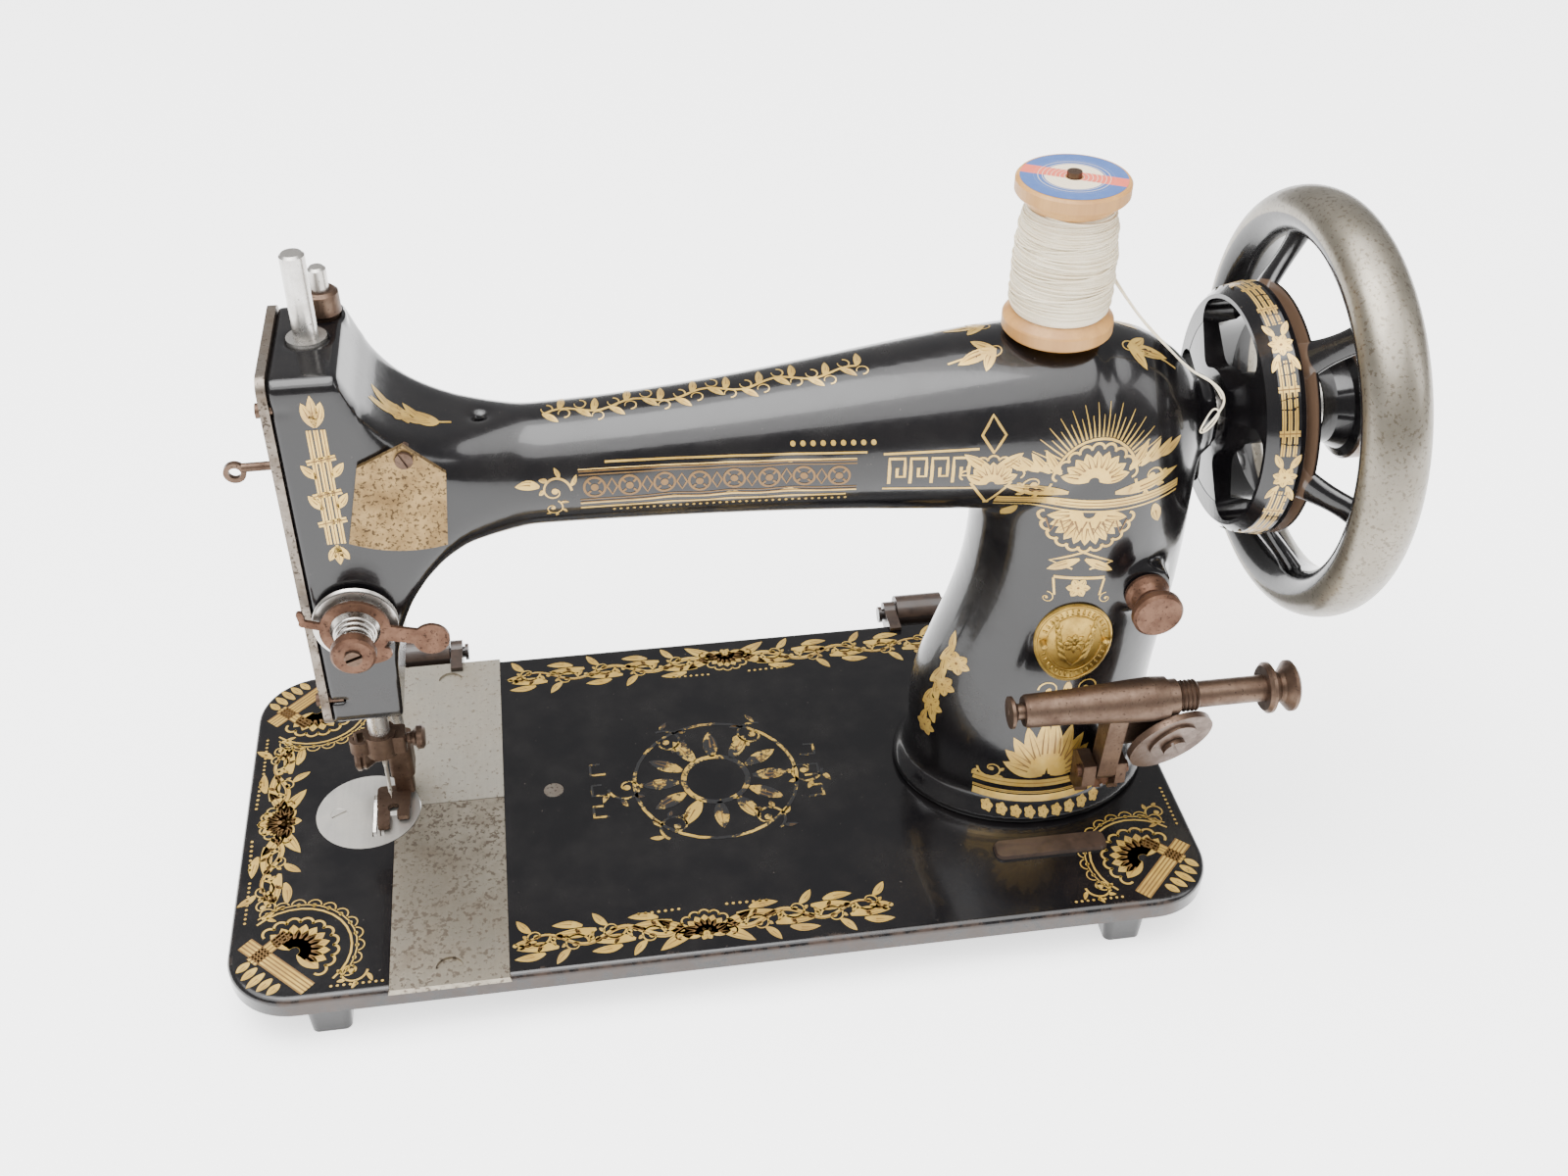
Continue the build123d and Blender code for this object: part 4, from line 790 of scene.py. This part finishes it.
def from_front(u, v):
    return at(u, -90, v), Vector((0, 1, 0))


def from_above(u, v):
    return at(u, v, 260), Vector((0, 0, -1))


band = Ornament("arm_ornament", from_front, casting)


def band_place(s, off):
    """Along the arm's band: s from 0 to 1, off in mm across it."""
    return -55 + 112 * s, 161.5 + 1.2 * s + off


def band_line(off, width, start=0.0, stop=1.0, tone=0):
    band.line([band_place(start + (stop - start) * k / 40, off) for k in range(41)], width, tone=tone)


band_line(0, 13.0, 0.10, 0.93)
for off in (-5.7, -4.6, 4.6, 5.7):
    band_line(off, 0.35, 0.10, 0.93, 1)
for k in range(8):
    u, v = band_place(0.145 + 0.1045 * k, 0)
    band.arc(u, v, 3.5, 0, 360, 0.8, tone=1)
    band.disc(u, v, 1.3, 1)
    for quarter in range(4):
        way = 45 + 90 * quarter
        band.line([around(u, v, 1.8, way), around(u, v, 3.2, way)], 0.7, tone=1)
    if k < 7:
        for tip in (-1, 1):
            band.line([(u + 5.85 - 1.7, v), (u + 5.85, v + 3.0 * tip), (u + 5.85 + 1.7, v)], 0.65, tone=1)
band_line(8.3, 0.7, 0.18, 0.96)
band_line(-8.3, 0.7, 0.10, 0.9)
band.beads(band_place(0.2, -10.2), band_place(0.9, -10.2), 0.5, 2.2)
band.beads(band_place(0.74, 11.5), band_place(0.98, 11.5), 0.9, 3.2)
band.scroll(-52, 161, 5.6, 0, 1)
band.scroll(-53, 154, 3.6, 60, -1)
band.leaf(-57, 163, 160, 8, 3.5, 0.2)
for k in range(4):
    u, v = 60 + 7.2 * k, 163.5
    band.line([(u, v - 5), (u, v + 5), (u + 5.2, v + 5), (u + 5.2, v - 2), (u + 2.6, v - 2),
               (u + 2.6, v + 1.5)], 1.1)
band.line([(58, 170.2), (90, 171.5)], 0.8)
band.line([(58, 156.4), (90, 155.6)], 0.8)
band.fan(95, 157, 90, 10, 150, 7)
for side in (-1, 1):
    band.leaf(95, 163, 90 - side * 62, 12, 4, 0.1 * side)
    band.line([(95 - side * 7, 158), (95, 147), (95 + side * 1, 147)], 1.0)
band.line([(95, 170), (91, 176), (95, 182), (99, 176)], 0.9, closed=True)

# pillar: half sun over a scrolled base, pendants below, and a palmette at the foot
SUN = (131, 158)
for k in range(31):
    way = 12 + 156 * k / 30
    near, far = 15.5, (26 if k % 2 else 22.5)
    band.line([around(*SUN, near, way), around(*SUN, far, way)], 0.75, 0.2)
band.fan(SUN[0], SUN[1] - 2, 90, 13, 170, 9)
band.arc(*SUN, 14.8, 8, 172, 0.9)
for side in (-1, 1):
    band.scroll(SUN[0] + side * 21, SUN[1] - 2, 6.2, 90 + side * 90, side)
    band.leaf(SUN[0] + side * 8, SUN[1] - 7, 90 - side * 84, 24, 5, 0.12 * side)
    for k in range(4):
        band.leaf(SUN[0] + side * (12 + 4 * k), SUN[1] + 2 + k, 90 - side * (40 + 9 * k), 12 - k, 3.4,
                  0.15 * side)
base = [(SUN[0] + 33 * (k / 20 - 1), 146.5 + 2.4 * ((k / 20 - 1) ** 2)) for k in range(41)]
band.line(base, 3.4)
band.line([(u, v + 0.6) for u, v in base], 0.35, tone=1)
band.line([(u, v - 0.8) for u, v in base], 0.35, tone=1)
band.line([(u, v - 3.2) for u, v in base], 0.7)
band.fan(SUN[0], 142.5, -90, 14.5, 176, 11)
for k in range(6):
    u = SUN[0] - 12 + 4.8 * k
    band.line([(u - 2, 139), (u, 133.5), (u + 2, 139)], 0.7, tone=1)
band.leaf(SUN[0] - 24, 143, -110, 9, 4)
band.leaf(SUN[0] + 24, 143, -70, 9, 4)
for side in (-1, 1):
    band.line([(SUN[0], 125.5), (SUN[0] + side * 11, 121), (SUN[0] + side * 3, 118)], 0.8)
    band.leaf(SUN[0] + side, 122.5, 90 - side * 118, 12, 3.6)
    band.line([(SUN[0] + side * 9, 113.5), (SUN[0] + side * 8, 106)], 0.8)
    band.scroll(SUN[0] + side * 10.5, 104.5, 2.6, 90, side, False)
band.line([(SUN[0] - 9, 114), (SUN[0] + 9, 114)], 1.2)
band.rosette(SUN[0], 109.5, 4.2, 6)
for side in (-1, 1):
    band.scroll(132 + side * 7, 62.5, 4.2, 90 - side * 90, side, False)
band.leaf(132, 66, -90, 8, 3.5)
for side in (-1, 1):
    for k in range(5):
        band.leaf(127 + side * 1.5, 22, 90 - side * (8 + 17 * k), 27 - 2.6 * k, 6.5, 0.14 * side)
    band.scroll(127 + side * 21, 24, 5.0, 90 - side * 90, -side)
for off, width in ((17.5, 3.6), (12.8, 1.2), (10.2, 2.8)):
    curve = [(127 + 27 * (k / 16 - 1), off + 1.6 * (k / 16 - 1) ** 2) for k in range(33)]
    band.ribbed(curve, width, 0.35)
for k in range(9):
    band.rosette(105 + 5.4 * k, 5.2 + 0.10 * (k - 4) ** 2, 2.3, 5)

# head: bundled reeds bound with leaves, and the small sprigs
REEDS_X = -124.2
for off in (-2.2, 0, 2.2):
    band.ribbed([(REEDS_X + off, 152), (REEDS_X + off, 196)], 1.6, 0.3)
for knot in (160, 171, 184):
    band.ribbed([(-128.8, knot), (-119.6, knot + 1.5)], 2.0, 0.4)
for side in (-1, 1):
    band.leaf(REEDS_X, 197, 90 - side * 24, 9.5, 3.6, 0.1 * side)
    band.leaf(REEDS_X + side * 2, 166, 90 - side * 45, 7, 3, 0.15 * side)
    band.leaf(REEDS_X + side * 2, 178, 90 - side * 50, 7, 3, 0.15 * side)
    band.leaf(REEDS_X, 151, -90 + side * 30, 6.5, 3)
band.leaf(REEDS_X, 197.5, 90, 11, 3.2)
band.leaf(REEDS_X, 151.5, -90, 8, 3)
band.finish("frame", M["gilt"])

pillar_side = Ornament("pillar_side_ornament", lambda u, v: (at(40, u, v), Vector((1, 0, 0))), casting)
for k in range(4):
    pillar_side.rosette(-13 - 1.2 * k, 32 + 11 * k, 4.6, 6)
    pillar_side.leaf(-17 + 1.2 * k, 36 + 10.5 * k, 60, 9, 3.4, 0.2)
    pillar_side.leaf(-10, 31 + 10.5 * k, 118, 9, 3.4, -0.2)
pillar_side.finish("frame", M["gilt"])

sprigs = Ornament("spool_sprig_ornament", from_above, casting)
for u, v, angle in ((99, -8, 190), (99, 8, 170), (146, -9, -10), (146, 9, 10)):
    sprigs.scroll(u, v, 3.4, angle, 1, False)
    sprigs.leaf(u, v, angle, 14, 5, 0.12)
    sprigs.leaf(u, v, angle + 38, 9, 4, 0.2)
    sprigs.leaf(u, v, angle - 38, 9, 4, -0.2)
    sprigs.line([(u, v), (u + 17 * cos(radians(angle)), v + 17 * sin(radians(angle)))], 0.7)
for k in range(4):
    sprigs.leaf(-88 - 4.4 * k, -6 - 0.8 * k, 150, 9, 3.8, 0.2 * (-1) ** k)
    sprigs.leaf(-88 - 4.4 * k, -6 - 0.8 * k, 215, 8, 3.4, -0.2)
sprigs.line([(-84, -5), (-108, -10)], 0.9)
sprigs.rosette(-100, -8, 4.5, 7)
sprigs.finish("frame", M["gilt"])


# Long scrolled line along the arm's upper front, where its curve faces up.
def on_slope(u, v):
    """Cast down the slope; v is the height where the line meets the arm, 12 mm before its middle."""
    return at(u, -80, v + 54), Vector((0, 0.78, -0.62)).normalized()


vine = Ornament("arm_vine_ornament", on_slope, casting)
VINE = [(-54 + 2.8 * k, 187.5 + 0.23 * k + 1.6 * sin(k * 0.72)) for k in range(39)]
vine.line(VINE, 0.9)
for k, (u, v) in enumerate(VINE):
    if k % 2 == 0:
        up = 1 if (k // 2) % 2 else -1
        vine.leaf(u, v, 20 + up * 48, 6.5, 2.6, 0.2 * up)
        vine.arc(u + 1.6, v - up * 2.4, 1.9, -90 * up, 190 * up, 0.6, 0.3)
vine.finish("frame", M["gilt"])

# Flowers and bound reeds round the belt pulley.
PULLEY_FACE = ((190.4, 44.2), (198.2, 45.75))     # X and radius at both ends of the face
PULLEY_RADIUS = 45.0
ROUND = 2 * pi * PULLEY_RADIUS


def on_pulley(u, v, lift):
    (x0, r0), (x1, r1) = PULLEY_FACE
    x = 194.3 + v
    reach = r0 + (r1 - r0) * (x - x0) / (x1 - x0) + lift
    return at(x, reach * cos(u / PULLEY_RADIUS), SHAFT_Z + reach * sin(u / PULLEY_RADIUS))


reeds = Ornament("pulley_ornament", on_pulley, None, 0.10)
for k in range(6):
    middle = ROUND * k / 6
    reeds.rosette(middle, 0, 4.1, 7)
    for off in (-2.0, 0, 2.0):
        reeds.ribbed([(middle + 6 + 3 * j, off) for j in range(12)], 1.3, 0.3)
    for knot in (16, 31):
        reeds.ribbed([(middle + knot, -3.4), (middle + knot, 3.4)], 2.0, 0.4)
    for side in (-1, 1):
        reeds.leaf(middle + 3.6, side * 1.4, 28 * side, 7, 2.4)
        reeds.leaf(middle - 3.6, side * 1.4, 180 - 28 * side, 6, 2.4)
reeds.finish("hand_wheel", M["gilt"])

# ---- badge ---------------------------------------------------------------------------------
plate_tree = surface_of(nodes["badge"])
relief = Ornament("badge_relief", from_front, plate_tree, 0.05)
BADGE = (132, 85)
OVAL = 0.826                             # width over height of the badge


def oval(radius):
    return [around(*BADGE, radius, degrees, OVAL) for degrees in range(0, 360, 8)]


relief.line(oval(16.7), 0.9, closed=True)
relief.line(oval(12.4), 0.4, closed=True)
for k in range(36):
    way = radians(10 * k)
    if abs(sin(way)) < 0.3:
        continue
    relief.line([(BADGE[0] + 11 * cos(way), BADGE[1] + 13.4 * sin(way)),
                 (BADGE[0] + 12.6 * cos(way), BADGE[1] + 15.4 * sin(way))], 0.9, 0.5)
for side in (-1, 1):
    for k in range(6):
        relief.leaf(BADGE[0] + side * (2.2 + 0.9 * k), BADGE[1] - 8 + 2.9 * k, 90 - side * (52 - 7 * k),
                    5.2, 2.1, 0.2 * side, False)
    stem = ((0, -10), (5, -6), (7, 1), (5, 8))
    relief.line([(BADGE[0] + side * u, BADGE[1] + v) for u, v in stem], 0.7, 0.3)
relief.rosette(BADGE[0], BADGE[1], 4.2, 8)
badge_relief = relief.finish("frame", M["brass"], M["brass"])
thicken = badge_relief.modifiers.new("thicken", "SOLIDIFY")
thicken.thickness = 0.35 * MM
thicken.offset = 1.0

# ---- spool ---------------------------------------------------------------------------------
SPOOL_X, SPOOL_BASE, SPOOL_HEIGHT = SPOOL
verts, faces = [], []
RINGS, AROUND = (2.9, 6, 9.7, 13, 16.2, 17.6), 72
for ring, radius in enumerate(RINGS):
    for k in range(AROUND):
        angle = 2 * pi * k / AROUND
        verts.append(at(SPOOL_X + radius * cos(angle), radius * sin(angle), SPOOL_BASE + SPOOL_HEIGHT + 0.12))
for ring in range(len(RINGS) - 1):
    for k in range(AROUND):
        after = (k + 1) % AROUND
        inner, outer = ring * AROUND, (ring + 1) * AROUND
        faces.append((inner + k, inner + after, outer + after, outer + k))
paper = mesh_piece("spool_label", verts, faces, "spool", M["label"])


# Height and radius of the wound thread, from the spool's lower flange to its upper one.
WOUND = ((8.4, 15.6), (11, 16.9), (16, 17.15), (30, 16.85), (39, 15.95), (44, 14.9), (46.2, 13.9))
WOUND_LOW, WOUND_HIGH = 8.6, 46.0


def winding(name, turns, low, high, wander, phase, grow):
    """One layer of thread round the spool, wound a little unevenly."""
    points = []
    steps = turns * 20
    for k in range(steps + 1):
        part = k / steps
        height = low + (high - low) * part + wander * sin(2 * pi * part * turns / 1.7 + phase) \
            + 0.5 * wander * sin(2 * pi * part * turns / 5.3 + 2 * phase)
        height = min(max(height, WOUND_LOW), WOUND_HIGH)
        for (h0, r0), (h1, r1) in zip(WOUND, WOUND[1:]):
            if h0 <= height <= h1:
                radius = r0 + (r1 - r0) * (height - h0) / (h1 - h0)
        radius += grow + 0.12 * sin(37 * part + phase)
        angle = 2 * pi * part * turns + phase
        points.append((SPOOL_X + radius * cos(angle), radius * sin(angle), SPOOL_BASE + height))
    solid_strand(name, points, 0.62, "spool", M["cotton"], sides=1, cuts=2)


winding("spool_winding_low", 74, 8.8, 46.0, 0.25, 0.0, 0.0)
winding("spool_winding_cross", 22, 45.6, 9.0, 1.5, 1.1, 0.35)
winding("spool_winding_loose", 9, 11.0, 45.0, 3.0, 2.3, 0.6)

# ---- studio ---------------------------------------------------------------------------------
floor_material = Shade("floor", Roughness=0.6)
floor_material.set("Base Color", (0.93, 0.93, 0.93))
floor_material.set("Emission Color", (1.0, 1.0, 1.0))
floor_material.set("Emission Strength", 1.6)
bpy.ops.mesh.primitive_plane_add(size=8.0, location=(0, 0, -0.0002))
floor = bpy.context.object
floor.name = "floor"
dress(floor, floor_material.material)


def soft_light(name, place, target, size, power):
    data = bpy.data.lights.new(name, "AREA")
    data.shape = "RECTANGLE"
    data.size, data.size_y = size
    data.energy = power
    light = new_object(name, data)
    light.location = place
    light.rotation_euler = (Vector(target) - Vector(place)).to_track_quat("-Z", "Y").to_euler()


soft_light("key", (-0.35, -0.15, 1.7), (0, 0, 0.1), (1.1, 1.1), 30)
soft_light("right", (1.2, -0.5, 0.9), (0.1, 0, 0.15), (0.5, 0.9), 6)
sun = new_object("overhead", bpy.data.lights.new("overhead", "SUN"))
sun.data.energy = 7.0
sun.data.angle = radians(80)
sun.rotation_euler = (radians(8), radians(-8), 0)
world = bpy.data.worlds.new("studio")
bpy.context.scene.world = world
world.use_nodes = True
background = world.node_tree.nodes["Background"]
background.inputs["Color"].default_value = (1, 1, 1, 1)
background.inputs["Strength"].default_value = 0.45
